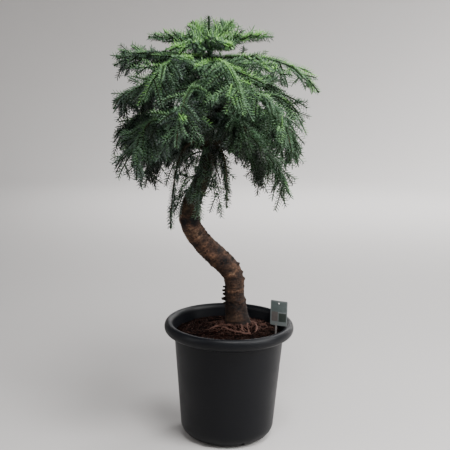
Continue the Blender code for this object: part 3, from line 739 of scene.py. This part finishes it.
def makeStubs():
    bm = bmesh.new()
    for x, y, z, lean, length in trunk["stubs"]:
        aim = Vector((-1, -0.25, lean)).normalized()
        place = Matrix.Translation(Vector((x, y, z)) + aim * length * 0.3)
        bmesh.ops.create_cone(bm, cap_ends=True, segments=8, radius1=trunk["stubRadius"],
                              radius2=trunk["stubRadius"] * trunk["stubTaper"], depth=length,
                              matrix=place @ aim.to_track_quat("Z", "Y").to_matrix().to_4x4())
    addPiece("trunk_stubs", toMesh("trunk_stubs", bm), chipFinish("dead stubs", trunk["stubColour"]),
             smoothAngle=50)


def makeScales(line, rng):
    # loose scales of bark, half sunk in the skin
    count = trunk["flakes"]
    route = line[line[:, 2] < trunk["flakeTop"]]
    route = route[route[:, 2] > soil["top"] + 0.01]
    near = pointsAt(route[:, :3], rng.uniform(0, 1, count))
    girth = np.interp(near[:, 2], route[:, 2], route[:, 3] / 2)
    side, across, along = axesAt(near[:, 2], route[:, 2], route[:, :3])
    turn = rng.uniform(0, math.tau, count)[:, None]
    out = side * np.cos(turn) + across * np.sin(turn)
    size = rng.uniform(*trunk["flake"], count)
    wide, high = rng.uniform(0.5, 0.9, count), rng.uniform(0.22, 0.38, count)
    sizes = np.stack((size, size * wide, size * high), axis=1)
    tilted = unit(out + along * rng.normal(0, 0.25, count)[:, None])
    first = unit(np.cross(along, tilted))
    turns = np.stack((first, np.cross(tilted, first), tilted), axis=1)
    mesh = scatter("bark_scales", toArrays(ball(1)), near + out * girth[:, None], turns, sizes)
    addPiece("bark_scales", mesh, chipFinish("bark scales", trunk["flakeColour"]), smoothAngle=50)
    print("trunk:", count, "scales")


roots = {
    # the larger ones on the soil: (start, bend, end) over the ground plan, with both diameters
    "routes": (((0.062, -0.057), (-0.005, -0.052), (-0.038, 0.035), 0.0070, 0.0036),
               ((0.045, 0.020), (0.005, -0.028), (-0.042, 0.040), 0.0060, 0.0034),
               ((0.056, 0.045), (0.106, 0.000), (0.062, -0.058), 0.0068, 0.0056),
               ((0.036, 0.004), (0.034, -0.026), (0.050, -0.055), 0.0062, 0.0040),
               ((0.056, 0.026), (0.050, -0.012), (0.062, -0.055), 0.0060, 0.0042),
               ((0.004, 0.036), (-0.020, 0.056), (-0.050, 0.028), 0.0056, 0.0030),
               ((0.030, 0.050), (0.052, 0.086), (0.020, 0.104), 0.0080, 0.0040),
               ((0.060, 0.040), (0.092, 0.050), (0.108, 0.020), 0.0050, 0.0028),
               ((-0.032, 0.006), (-0.052, 0.000), (-0.068, -0.016), 0.0046, 0.0026)),
    "steps": 46, "sides": 12, "proud": 0.28, "wave": 0.0022, "dive": 0.006,
    "colour": (0.070, 0.036, 0.028), "fineColour": (0.056, 0.027, 0.020),
    # toes leave the foot of the trunk over the soil and dive into it
    "toes": 15, "toeRise": 0.012, "toe": (0.032, 0.060), "toeRadius": (0.0018, 0.0032), "toeSteps": 14,
    "toeDrop": 0.0035,  # the most that a toe falls from step to step
    # rootlets net the soil round the foot
    "rootlets": 130, "rootlet": (0.022, 0.060), "rootletRadius": (0.0006, 0.0014), "rootletSteps": 8,
    "spread": 0.074, "edge": 0.148,
}


def makeSurfaceRoots():
    bm = bmesh.new()
    for start, bend, end, thick, thinEnd in roots["routes"]:
        route = bendLine((*start, 0), (*bend, 0), (*end, 0), roots["steps"])
        shares = np.linspace(0, 1, len(route))
        for spot, share in zip(route, shares):
            wave = roots["wave"] * noise.noise(Vector(spot) * 60 + Vector((0, 0, 4)))
            spot[:2] += wave
            ground = soilHeight(spot[0], spot[1]) + thick * roots["proud"]
            spot[2] = ground + wave - roots["dive"] * share**4
        widths = (thick + (thinEnd - thick) * shares) / 2
        widths = [width * (1 + 0.22 * noise.noise(Vector(spot) * 150)) for width, spot in zip(widths, route)]
        tube = sweepTube(bm, route, widths, roots["sides"])
        for ring, centre in zip(tube, route):
            for vert in ring:
                vert.co += (vert.co - Vector(centre)) * 0.35 * noise.noise(vert.co * 240)
    bmesh.ops.recalc_face_normals(bm, faces=bm.faces)
    addPiece("surface_roots", toMesh("surface_roots", bm), chipFinish("root skin", roots["colour"]),
             smoothAngle=180)


def growToe(foot, turn, rng):
    out = np.array((math.cos(turn), math.sin(turn), 0))
    across = np.cross(up, out) * rng.normal(0, 0.028)
    start = foot[:3] + out * foot[3] * 0.50 + up * roots["toeRise"] * rng.uniform(0.3, 1.0)
    length = rng.uniform(*roots["toe"])
    thick = rng.uniform(*roots["toeRadius"])
    steps = roots["toeSteps"]
    route = bendLine(start, start + out * length * 0.45, start + out * length * 0.75 + across, steps)
    for k, spot in enumerate(route[2:], 2):
        sink = thick * (0.5 - 2.4 * (k / steps)**3)
        spot[2] = max(soilHeight(spot[0], spot[1]) + sink, spot[2] - roots["toeDrop"] * k)
    return route, (thick, thick * 0.55)


def growRootlet(foot, rng):
    # wanders over the soil with both ends under it, and stops at the pot
    steps = roots["rootletSteps"]
    heading = rng.uniform(0, math.tau)
    away = roots["spread"] * rng.uniform(0.25, 1)
    spot = foot[:2] + away * np.array((math.cos(heading), math.sin(heading)))
    heading += rng.normal(0, 0.9)
    reach = rng.uniform(*roots["rootlet"])
    route = []
    for step in range(steps + 1):
        if np.hypot(*spot) > roots["edge"]:
            break
        lift = 0.0016 + 0.0016 * math.sin(step * 1.1 + away * 90)
        route.append((*spot, soilHeight(*spot) + lift - 0.004 * (step in (0, steps))))
        heading += rng.normal(0, 0.45)
        spot = spot + reach / steps * np.array((math.cos(heading), math.sin(heading)))
    if len(route) < 5:
        return None
    thick = rng.uniform(*roots["rootletRadius"])
    return smoothLine(route, 3), (thick, thick * 0.6)


def makeRootlets(rng):
    foot = trunkAt(soil["top"])
    toes = roots["toes"]
    grown = [growToe(foot, math.tau * (i + rng.uniform(-0.3, 0.3)) / toes, rng) for i in range(toes)]
    grown += [growRootlet(foot, rng) for _ in range(roots["rootlets"])]
    lines, radii = zip(*(root for root in grown if root))
    addPiece("rootlets", rods("rootlets", lines, radii), chipFinish("rootlets", roots["fineColour"]))
    print("roots:", len(lines), "fine ones")


def makeTrunk():
    line = smoothLine(trunk["route"], trunk["steps"])
    makeBark(line)
    makeStubs()
    rng = np.random.default_rng(trunk["seed"])
    makeScales(line, rng)
    makeSurfaceRoots()
    makeRootlets(rng)


# limbs of the whorls as (azimuth, reach from the trunk, tip height), as in the part's source
whorls = {
    "crown": {"height": 1.148, "stagger": 0.006, "lift": 0.014, "knee": 0.50, "bare": 0.0,
              "radius": 0.0022, "twigs": 5, "twig": 0.075, "spread": 46,
              "limbs": ((0, 0.162, 1.181), (64, 0.126, 1.210), (110, 0.126, 1.206),
                        (180, 0.156, 1.174), (229, 0.144, 1.148), (298, 0.110, 1.158))},
    "upper": {"height": 1.112, "stagger": 0.010, "lift": 0.036, "knee": 0.72, "bare": 0.14,
              "radius": 0.0036, "twigs": 8, "twig": 0.145, "spread": 54,
              "limbs": ((354, 0.300, 1.044), (50, 0.262, 1.020), (112, 0.255, 1.030),
                        (174, 0.258, 1.098), (228, 0.245, 1.030), (292, 0.248, 1.000))},
    "middle": {"height": 1.040, "stagger": 0.013, "lift": 0.036, "knee": 0.86, "bare": 0.25,
               "radius": 0.0046, "twigs": 8, "twig": 0.145, "spread": 54,
               "limbs": ((20, 0.262, 0.955), (80, 0.255, 0.935), (140, 0.258, 0.930),
                         (190, 0.260, 0.990), (252, 0.250, 0.915), (328, 0.268, 0.895))},
    "lower": {"height": 0.965, "stagger": 0.016, "lift": 0.034, "knee": 0.92, "bare": 0.34,
              "radius": 0.0054, "twigs": 7, "twig": 0.125, "spread": 48,
              "limbs": ((2, 0.250, 0.842), (48, 0.258, 0.795), (112, 0.240, 0.790),
                        (172, 0.252, 0.880), (214, 0.246, 0.845), (300, 0.215, 0.915))},
    "skirt": {"height": 0.872, "stagger": 0.020, "lift": 0.045, "knee": 0.95, "bare": 0.34,
              "radius": 0.0066, "twigs": 5, "twig": 0.078, "spread": 40,
              "limbs": ((338, 0.228, 0.748), (8, 0.150, 0.775), (84, 0.170, 0.740),
                        (150, 0.210, 0.765), (208, 0.120, 0.655), (302, 0.100, 0.725))},
}


class Limb:
    def __init__(self, name, whorl, azimuth, reach, tip, height):
        out = np.array((math.cos(math.radians(azimuth)), math.sin(math.radians(azimuth)), 0))
        axis = trunkAt(height)
        start = axis[:3] + out * axis[3] / 2
        bend = axis[:3] + out * reach * whorl["knee"] + np.array((0, 0, whorl["lift"]))
        if whorl["bare"] == 0:
            bend[2] += (tip - height) * whorl["knee"]
        end = np.array((axis[0], axis[1], tip)) + out * reach
        self.name = name
        self.level = name.split("_")[0]
        self.whorl = whorl
        self.root = axis[:3] + out * axis[3] * 0.2
        self.line = bendLine(start, bend, end, 48)


def findLimbs():
    found = []
    for level, whorl in whorls.items():
        for number, (azimuth, reach, tip) in enumerate(whorl["limbs"], 1):
            height = whorl["height"] + whorl["stagger"] * (number % 2 - 0.5)
            found.append(Limb(f"{level}_{number}", whorl, azimuth, reach, tip, height))
    return found


bough = {"sides": 12, "collar": 1.9, "endShare": 0.62, "stem": 0.0022, "tip": 0.0016,
         "roughShare": 0.35, "fullRelief": 0.004}


def makeBoughs(limbs):
    # the limbs run on to the tips of their masses
    bm = bmesh.new()
    alongLayer = bm.verts.layers.float.new("along")
    reliefLayer = bm.verts.layers.float.new("relief")
    for limb in limbs:
        whorl = limb.whorl
        line = np.vstack((limb.root, limb.line))
        shares = lengthsAlong(line) / lengthsAlong(line)[-1]
        bare = max(whorl["bare"], 0.06)
        radii = np.interp(shares, (0, 0.05, bare, bare + 0.12, 1),
                          (whorl["radius"] * bough["collar"], whorl["radius"] * 1.1,
                           whorl["radius"] * bough["endShare"], bough["stem"], bough["tip"]))
        rings = sweepTube(bm, line, radii, bough["sides"])
        for ring, centre, radius, along in zip(rings, line, radii, lengthsAlong(line)):
            for vert in ring:
                out = (vert.co - Vector(centre)).normalized()
                push = barkRelief(vert.co * 1.6, along)
                vert[alongLayer] = along
                vert[reliefLayer] = 0.5 + push / trunk["reliefSpan"]
                vert.co += out * push * bough["roughShare"] * min(radius / bough["fullRelief"], 1)
    bmesh.ops.recalc_face_normals(bm, faces=bm.faces)
    addPiece("boughs", toMesh("boughs", bm), barkFinish("young bark"),
             [f"bough_{limb.name}" for limb in limbs if limb.whorl["bare"] > 0], 180)
    print("boughs:", len(limbs), "limbs")


# Foliage

foliage = {
    "seed": 30,
    # stems run on from the limbs' bare parts
    "stemSteps": 26, "stemGrowth": 0.012, "stemBare": 0.8, "leastBare": 0.05,
    # twigs on the limbs
    "moreTwigs": {"crown": 3.8, "upper": 4.2, "middle": 4.8, "lower": 5.8, "skirt": 3.0},
    "firstTwig": 0.0, "lastTwig": 0.90, "crowding": 1.15, "twigSteps": 14,
    "twigTaper": {"crown": 0.72, "upper": 0.45, "middle": 0.40, "lower": 0.40, "skirt": 0.45},
    "bareShare": 0.25, "riseLoss": 0.30,
    "twigPlay": (0.70, 1.12), "spreadPlay": 12, "hangPlay": (0.5, 1.3),
    # how far twigs sag, and their fan from hanging to rising at the limb's root and at its tip
    "hang": {"crown": -0.20, "upper": 0.18, "middle": 0.34, "lower": 0.62, "skirt": 0.45},
    "fans": {"crown": ((-40, 18), (-25, 45)), "upper": ((-85, 0), (-65, 55)),
             "middle": ((-85, 40), (-70, 55)), "lower": ((-88, 30), (-85, 40)),
             "skirt": ((-80, 30), (-80, 40))},
    # limbs with more or fewer twigs than their neighbours
    "fuller": {"skirt_1": 1.9, "skirt_2": 1.9, "skirt_4": 2.2, "lower_1": 1.2, "lower_4": 1.2,
               "lower_5": 1.35, "lower_6": 1.1, "upper_1": 0.52, "upper_2": 0.50, "middle_1": 0.74},
    # limbs with longer or shorter twigs
    "longer": {"skirt_1": 1.45, "skirt_2": 1.35, "skirt_4": 1.7, "skirt_5": 0.50, "skirt_6": 0.40,
               "lower_4": 1.12, "lower_5": 1.15},
    # twiglets on the longer twigs
    "twigletPitch": 0.027, "twiglet": 0.055, "twigletTaper": 0.40, "twigletSpread": 48, "twigletFan": 75,
    "twigletSteps": 5, "twigletPlay": (0.7, 1.15), "twigletSpreadPlay": 9, "twigletHang": 0.5,
    # short shoots straight from the trunk, from low to high
    "trunkShoots": 30, "trunkShootBand": (0.850, 1.100), "trunkShoot": 0.085, "trunkShootSag": 0.35,
    "trunkShootTurn": 137.5, "trunkShootStart": 4.0, "trunkShootSteps": 12,
    "trunkShootPlay": (0.7, 1.2), "trunkShootRise": (-0.3, 0.3),
    # leafy shoots that hang over the front of the trunk under the boughs
    "aprons": 13, "apronBand": (0.720, 0.870), "apronFan": (185, 345), "apron": 0.105, "apronTone": 1.0,
    "apronSteps": 14, "apronReach": 0.50, "apronDrop": 0.72, "apronHang": 0.5,
    "apronPlay": (0.75, 1.15), "apronTurn": 0.618,
    # how shoots keep clear of the trunk, the box and the neighbours' space
    "clearOfTrunk": 0.007, "boxMargin": 0.012, "ownReach": 0.8, "ownLap": 0.012,
    # needles, and how far they open in degrees
    "needle": 0.0158, "needleWidth": 0.0030, "needleBow": 0.055, "pitch": 0.00205, "stemPitch": 0.60,
    "openRoot": 66, "openMiddle": 57, "openTip": 52, "openSpread": 4, "tipSpan": 0.012, "tipLength": 0.78,
    "crownNeedle": 1.28, "leaderFrom": 1.06,
    # which of the colours below each level takes, lighter higher up as painted light, and how single limbs
    # and shoots stray from it
    "tones": {"crown": 4.9, "upper": 3.6, "middle": 3.15, "lower": 2.8, "skirt": 2.7},
    "limbStray": 0.35, "stray": 0.80,
    "innerTone": -0.8, "outerTone": 1.2, "outerReach": 0.25,  # painted shade inside the crown, painted light outside
    "sunnySide": 3.4, "sunnyFrom": -0.07, "richFrom": -0.02,  # painted light: lighter and greener towards +X
    # thicknesses at root and tip, and colours: the stems' own dark green, made darker as painted shade at the
    # shoots' cores
    "stems": {"twigs": (0.0021, 0.0014, (0.018, 0.026, 0.013)),
              "twiglets": (0.0015, 0.0010, (0.020, 0.036, 0.015))},
    "bud": (0.0056, 0.0095), "budColour": (0.020, 0.034, 0.012),
    "mostFaces": 195000,  # in one piece
}

# needle colours from the shaded inside to the lit top; rich takes blue's place on the sunny side
needleColours = {
    "shade": (0.004, 0.008, 0.004),
    "deep": (0.010, 0.022, 0.010),
    "blue": (0.036, 0.058, 0.046),
    "rich": (0.016, 0.052, 0.014),
    "mid": (0.040, 0.086, 0.044),
    "fresh": (0.070, 0.146, 0.070),
    "bright": (0.108, 0.232, 0.082),
    "sun": (0.150, 0.360, 0.070),
}


class Space:
    # tells which limb a place belongs to, and whether it is clear of the trunk
    def __init__(self, limbs):
        shares = np.linspace(0, 1, 70)
        self.tree = KDTree(len(limbs) * len(shares))
        self.owners = []
        for number, limb in enumerate(limbs):
            for spot in pointsAt(limb.line, shares):
                self.tree.insert(spot, len(self.owners))
                self.owners.append(number)
        self.tree.balance()
        self.trunkLine = smoothLine(trunk["route"], 20)
        self.trunkTree = KDTree(len(self.trunkLine))
        for number, spot in enumerate(self.trunkLine):
            self.trunkTree.insert(spot[:3], number)
        self.trunkTree.balance()
        self.low = np.array(cadBox[0]) + foliage["boxMargin"]
        self.high = np.array(cadBox[1]) - foliage["boxMargin"]

    def owns(self, number, spot):
        if (spot < self.low).any() or (spot > self.high).any():
            return False
        near = self.tree.find_n(spot, 90)
        mine = min((gap for _, item, gap in near if self.owners[item] == number), default=math.inf)
        if mine * foliage["ownReach"] > near[0][2] + foliage["ownLap"]:
            return False
        _, nearest, distance = self.trunkTree.find(spot)
        return distance > self.trunkLine[nearest][3] / 2 + foliage["clearOfTrunk"]

    def clearPart(self, number, line):
        for i, spot in enumerate(line[1:], 1):
            if not self.owns(number, spot):
                return line[:i]
        return line


def growTwig(parent, share, side, length, spread, hang, fan, steps):
    # out from the parent at an angle, then sagging by its own weight
    at, behind, ahead = pointsAt(parent, (share, max(share - 0.03, 0), min(share + 0.03, 1)))
    along = unit(ahead - behind)
    flat = np.cross(along, (0, 0, 1))
    flat = unit(flat) if np.linalg.norm(flat) > 0.2 else unit(np.array((along[1], -along[0], 0)))
    rise = np.cross(flat, along)
    away = flat * side * math.cos(fan) + rise * math.sin(fan)
    out = along * math.cos(spread) + away * math.sin(spread)
    sag = np.array((0, 0, hang * length))
    end = at + out * length * (1 - 0.3 * abs(hang)) - sag
    return bendLine(at, at + out * length * 0.5 - sag * 0.2, end, steps)


def growTwiglets(number, twig, hang, space, rng):
    reach = lengthsAlong(twig)[-1]
    pairs = int(reach / foliage["twigletPitch"]) - 1
    found = []
    for j in range(pairs):
        along = (j + 0.6) / (pairs + 1)
        size = foliage["twiglet"] * (1 - foliage["twigletTaper"] * along)
        size = min(size * rng.uniform(*foliage["twigletPlay"]), reach * 0.6)
        play = foliage["twigletSpreadPlay"]
        spread = math.radians(foliage["twigletSpread"] + rng.uniform(-play, play))
        fan = math.radians(rng.uniform(-1, 1) * foliage["twigletFan"])
        twiglet = growTwig(twig, along, 1 if j % 2 else -1, size, spread, hang * foliage["twigletHang"],
                           fan, foliage["twigletSteps"])
        twiglet = space.clearPart(number, twiglet)
        if len(twiglet) > 3:
            found.append((number, 2, twiglet))
    return found


def growLimbShoots(number, limb, space, rng):
    whorl = limb.whorl
    bare = max(whorl["bare"] * foliage["bareShare"], foliage["leastBare"])
    first = max(whorl["bare"] * foliage["stemBare"], foliage["leastBare"])
    stem = pointsAt(limb.line, np.linspace(first, 1, foliage["stemSteps"]))
    stem = np.vstack((stem, stem[-1] + unit(stem[-1] - stem[-2]) * foliage["stemGrowth"]))
    found = [(number, 0, stem)]
    count = round(whorl["twigs"] * foliage["moreTwigs"][limb.level] * foliage["fuller"].get(limb.name, 1))
    for i in range(count):
        side = 1 if i % 2 else -1
        share = (i / (count - 1))**foliage["crowding"]
        share = foliage["firstTwig"] + (foliage["lastTwig"] - foliage["firstTwig"]) * share
        fans = [a + (b - a) * share for a, b in zip(*foliage["fans"][limb.level])]
        fan = math.radians(rng.uniform(*fans))
        length = whorl["twig"] * (1 - foliage["twigTaper"][limb.level] * share)
        length *= rng.uniform(*foliage["twigPlay"])
        length *= (1 - foliage["riseLoss"] * abs(math.sin(fan))) * foliage["longer"].get(limb.name, 1)
        spread = math.radians(whorl["spread"] + rng.uniform(-foliage["spreadPlay"], foliage["spreadPlay"]))
        hang = foliage["hang"][limb.level] * rng.uniform(*foliage["hangPlay"])
        twig = growTwig(limb.line, bare + (1 - bare) * share, side, length, spread, hang, fan,
                        foliage["twigSteps"])
        twig = space.clearPart(number, twig)
        if len(twig) < 5:
            continue
        found.append((number, 1, twig))
        found += growTwiglets(number, twig, hang, space, rng)
    return found


def growTrunkShoots(space, rng):
    line = space.trunkLine[:, :3]
    low, high = foliage["trunkShootBand"]
    found = []
    for i in range(foliage["trunkShoots"]):
        height = low + (high - low) * ((i + 0.5) / foliage["trunkShoots"])
        place = np.interp(height, line[:, 2], lengthsAlong(line)) / lengthsAlong(line)[-1]
        turn = i * math.radians(foliage["trunkShootTurn"]) + foliage["trunkShootStart"]
        length = foliage["trunkShoot"] * rng.uniform(*foliage["trunkShootPlay"])
        at = pointsAt(line, (place,))[0]
        out = np.array((math.cos(turn), math.sin(turn), rng.uniform(*foliage["trunkShootRise"])))
        end = at + out * length - np.array((0, 0, foliage["trunkShootSag"] * length))
        shoot = bendLine(at, at + out * length * 0.6, end, foliage["trunkShootSteps"])
        number = space.owners[space.tree.find(end)[1]]
        found.append((number, 1, shoot[2:]))
    return found


def growAprons(space, rng):
    lowest, highest = foliage["apronBand"]
    low, high = foliage["apronFan"]
    found = []
    for i in range(foliage["aprons"]):
        height = lowest + (highest - lowest) * ((i + 0.5) / foliage["aprons"])
        turn = math.radians(low + (high - low) * ((i * foliage["apronTurn"]) % 1))
        out = np.array((math.cos(turn), math.sin(turn), 0))
        axis = trunkAt(height)
        length = foliage["apron"] * rng.uniform(*foliage["apronPlay"])
        at = axis[:3] + out * axis[3] * 0.45
        bend = at + out * length * 0.42 + up * length * 0.10
        end = at + out * length * foliage["apronReach"] - up * length * foliage["apronDrop"]
        shoot = bendLine(at, bend, end, foliage["apronSteps"])
        number = space.owners[space.tree.find(shoot[-1])[1]]
        found.append((number, 3, shoot))
        twiglets = growTwiglets(number, shoot, foliage["apronHang"], space, rng)
        found += [(owner, 3, line) for owner, _, line in twiglets]
    return found


def growShoots(limbs):
    # every shoot as (limb number, order, line): 0 stem, 1 twig, 2 twiglet, 3 apron
    rng = np.random.default_rng(foliage["seed"])
    space = Space(limbs)
    shoots = []
    for number, limb in enumerate(limbs):
        shoots += growLimbShoots(number, limb, space, rng)
    shoots += growTrunkShoots(space, rng)
    shoots += growAprons(space, rng)
    print("shoots:", len(shoots))
    return shoots


def needleShape():
    # a slim closed awl, bowed away from its shoot
    bm = bmesh.new()
    bow = foliage["needleBow"]
    bm.verts.new((0, 0, 0))
    for height, width in ((0.26, 0.5), (0.68, 0.42)):
        for x, y in ((-width, 0), (width, 0), (0, -0.05)):
            bm.verts.new((x, y - bow * 4 * height * (1 - height), height))
    bm.verts.new((0, 0, 1))
    bmesh.ops.convex_hull(bm, input=bm.verts)
    return toArrays(bm)


def needlesOn(line, size, pitch, rng):
    # needles in crossed pairs round a shoot as (places, turns, sizes)
    length = lengthsAlong(line)[-1]
    count = max(6, int(length / pitch))
    shares = (np.arange(count) + rng.uniform(0.3, 0.7, count)) / count
    places = pointsAt(line, shares)
    lengths = lengthsAlong(line) / length
    side, across, along = axesAt(shares, lengths, line)
    turn = np.radians((0, 180, 90, 270))[np.arange(count) % 4] + rng.uniform(0, math.tau)
    turn = (turn + rng.normal(0, 0.10, count))[:, None]
    out = side * np.cos(turn) + across * np.sin(turn)
    toTip = np.clip((1 - shares) * length / foliage["tipSpan"], 0, 1)
    opened = np.where(toTip < 1, foliage["openTip"] + (foliage["openMiddle"] - foliage["openTip"]) * toTip,
                      foliage["openMiddle"] + (foliage["openRoot"] - foliage["openMiddle"]) * (1 - shares))
    opened = np.radians(opened + rng.normal(0, foliage["openSpread"], count))[:, None]
    aim = along * np.cos(opened) + out * np.sin(opened)
    face = along * np.sin(opened) - out * np.cos(opened)
    turns = np.stack((np.cross(face, aim), face, aim), axis=1)
    long = size * (foliage["tipLength"] + (1 - foliage["tipLength"]) * toTip) * rng.uniform(0.85, 1.08, count)
    sizes = np.stack((foliage["needleWidth"] * rng.uniform(0.85, 1.15, count), long, long), axis=1)
    return places, turns, sizes


def dealNeedles(shoots, leader, limbs):
    # needles of all shoots, dealt out by colour
    rng = np.random.default_rng(foliage["seed"] + 1)
    shades = [name for name in needleColours if name != "rich"]
    dealt = {name: [] for name in needleColours}
    tint = rng.normal(0, foliage["limbStray"], len(limbs))
    for number, order, line in shoots + [(0, 0, leader)]:
        level = limbs[number].level
        away = math.hypot(*(line[-1] - trunkAt(line[-1][2])[:3])[:2])
        # painted light and shade: lighter for higher levels, outer shoots and towards +X, darker inside
        tone = foliage["tones"][level] + tint[number]
        tone += foliage["outerTone"] * min(away / foliage["outerReach"], 1)
        tone += foliage["innerTone"] + rng.normal(0, foliage["stray"])
        tone += foliage["apronTone"] if order == 3 else 0
        tone += foliage["sunnySide"] * max(line[-1][0] - foliage["sunnyFrom"], 0)
        shade = int(np.clip(tone, 0, len(shades) - 1))
        size = foliage["needle"] * (foliage["crownNeedle"] if level == "crown" else 1)
        pitch = foliage["pitch"] * (1 if order else foliage["stemPitch"])
        places, turns, sizes = needlesOn(line, size, pitch, rng)
        # painted light and shade: a step lighter on top, a step darker underneath
        upward = turns[:, 2, 2] + rng.normal(0, 0.25, len(places))
        step = np.where(upward > 0.35, 1, np.where(upward < -0.35, -1, 0))
        mine = np.clip(shade + step, 0, len(shades) - 1)
        for k in np.unique(mine):
            name = "rich" if shades[k] == "blue" and line[-1][0] > foliage["richFrom"] else shades[k]
            dealt[name].append((places[mine == k], turns[mine == k], sizes[mine == k]))
    return dealt


def makeNeedles(dealt, limbs):
    shape = needleShape()
    masses = [f"mass_{limb.name}" for limb in limbs]
    most = foliage["mostFaces"] // len(shape[1])
    total = 0
    for shade, colour in needleColours.items():
        places, turns, sizes = (np.concatenate(parts) for parts in zip(*dealt[shade]))
        finish = newFinish(f"needles {shade}", colour, 0.40, 0.5)[0]
        for part in range(0, len(places), most):
            some = slice(part, part + most)
            name = f"needles_{shade}_{part // most + 1}"
            mesh = scatter(name, shape, places[some], turns[some], sizes[some])
            addPiece(name, mesh, finish, masses)
            total += len(mesh.polygons)
    print("foliage:", total, "triangles of needles")


def makeStems(shoots):
    lines = {"twigs": [line for _, order, line in shoots if order == 1],
             "twiglets": [line for _, order, line in shoots if order > 1]}
    lines["twigs"] += [line[-3:] for _, order, line in shoots if order == 0]
    for name, (thick, thin, colour) in foliage["stems"].items():
        mesh = rods(name, lines[name], [(thick, thin)] * len(lines[name]))
        addPiece(name, mesh, chipFinish(name, colour))
        print("foliage:", len(lines[name]), name)


def makeBuds(shoots, leader):
    stems = [line for _, order, line in shoots if order == 0]
    tips = np.array([line[-1] for line in stems] + [leader[-1]])
    ways = [Vector(unit(line[-1] - line[-3])) for line in stems] + [up]
    turns = np.array([way.to_track_quat("Z", "Y").to_matrix().transposed() for way in ways])
    wide, long = foliage["bud"]
    mesh = scatter("buds", toArrays(ball(2)), tips, turns, np.tile((wide, wide, long), (len(tips), 1)))
    addPiece("buds", mesh, chipFinish("buds", foliage["budColour"]), smoothAngle=60)


def makeFoliage(limbs):
    shoots = growShoots(limbs)
    leader = smoothLine(trunk["route"], 10)[:, :3]
    leader = leader[leader[:, 2] > foliage["leaderFrom"]]
    makeNeedles(dealNeedles(shoots, leader, limbs), limbs)
    makeStems(shoots)
    makeBuds(shoots, leader)


# Stage and lights

studio = {
    "floorRadius": 4.2, "bend": 1.6, "wall": 3.4, "floor": (0.464, 0.448, 0.438),
    "world": 0.15, "worldColour": (0.95, 0.97, 1.0),
    # soft lamps as (name, place, aims at, width, height, watts)
    "lamps": (("overhead", (0.3, -1.1, 2.9), (-0.03, 0, 0.9), 0.9, 0.9, 88),
              ("front", (-0.4, -3.6, 1.0), (0, 0, 0.75), 2.4, 1.6, 10),
              ("rim", (1.6, 1.9, 2.5), (0, 0, 1.0), 0.8, 0.8, 45),
              ("sideRight", (2.4, -1.0, 1.3), (0, 0, 0.6), 0.5, 2.2, 24),
              ("sideLeft", (-2.4, -0.9, 1.2), (0, 0, 0.5), 0.4, 2.0, 12),
              ("strip", (1.7, 3.4, 1.6), (1.7, 3.6, 0), 5.0, 0.3, 150),
              ("floorRight", (2.5, -0.9, 2.3), (2.5, -0.8, 0), 2.2, 2.2, 180),
              ("nearRight", (1.1, -0.9, 1.0), (0.9, -0.2, 0), 1.2, 1.2, 6),
              ("nearLeft", (-1.0, -0.5, 0.9), (-0.9, -0.2, 0), 0.8, 0.8, 1.5),
              ("wallRight", (3.2, 3.4, 2.6), (3.8, 5.4, 0.8), 1.6, 1.6, 90)),
}


def makeStudio():
    radius, bend = studio["floorRadius"], studio["bend"]
    outline = [(0, 0), (radius / 2, 0), *arcOutline((radius, bend), (bend, bend), -90, 0, 16),
               (radius + bend, studio["wall"])]
    bm = turnProfile(outline, 96)
    bmesh.ops.reverse_faces(bm, faces=bm.faces)
    mesh = toMesh("studio_floor", bm)
    mesh.materials.append(newFinish("studio floor", studio["floor"], 0.9, 0.2)[0])
    mesh.shade_smooth()
    floor = addObject("studio_floor", mesh)
    world = bpy.data.worlds.new("studio")
    world.use_nodes = True
    sky = world.node_tree.nodes["Background"].inputs
    sky["Color"].default_value = (*studio["worldColour"], 1)
    sky["Strength"].default_value = studio["world"]
    bpy.context.scene.world = world
    for name, place, aim, width, height, watts in studio["lamps"]:
        lamp = bpy.data.lights.new(name, "AREA")
        lamp.shape = "RECTANGLE"
        lamp.size = width
        lamp.size_y = height
        lamp.energy = watts
        shown = addObject(name, lamp)
        shown.location = place
        shown.visible_camera = False
        shown.rotation_euler = (Vector(aim) - Vector(place)).to_track_quat("-Z", "Y").to_euler()


makeCamera()
makeStudio()
makePot()
makeSoil()
makeLabel()
makeTrunk()
limbs = findLimbs()
makeBoughs(limbs)
makeFoliage(limbs)
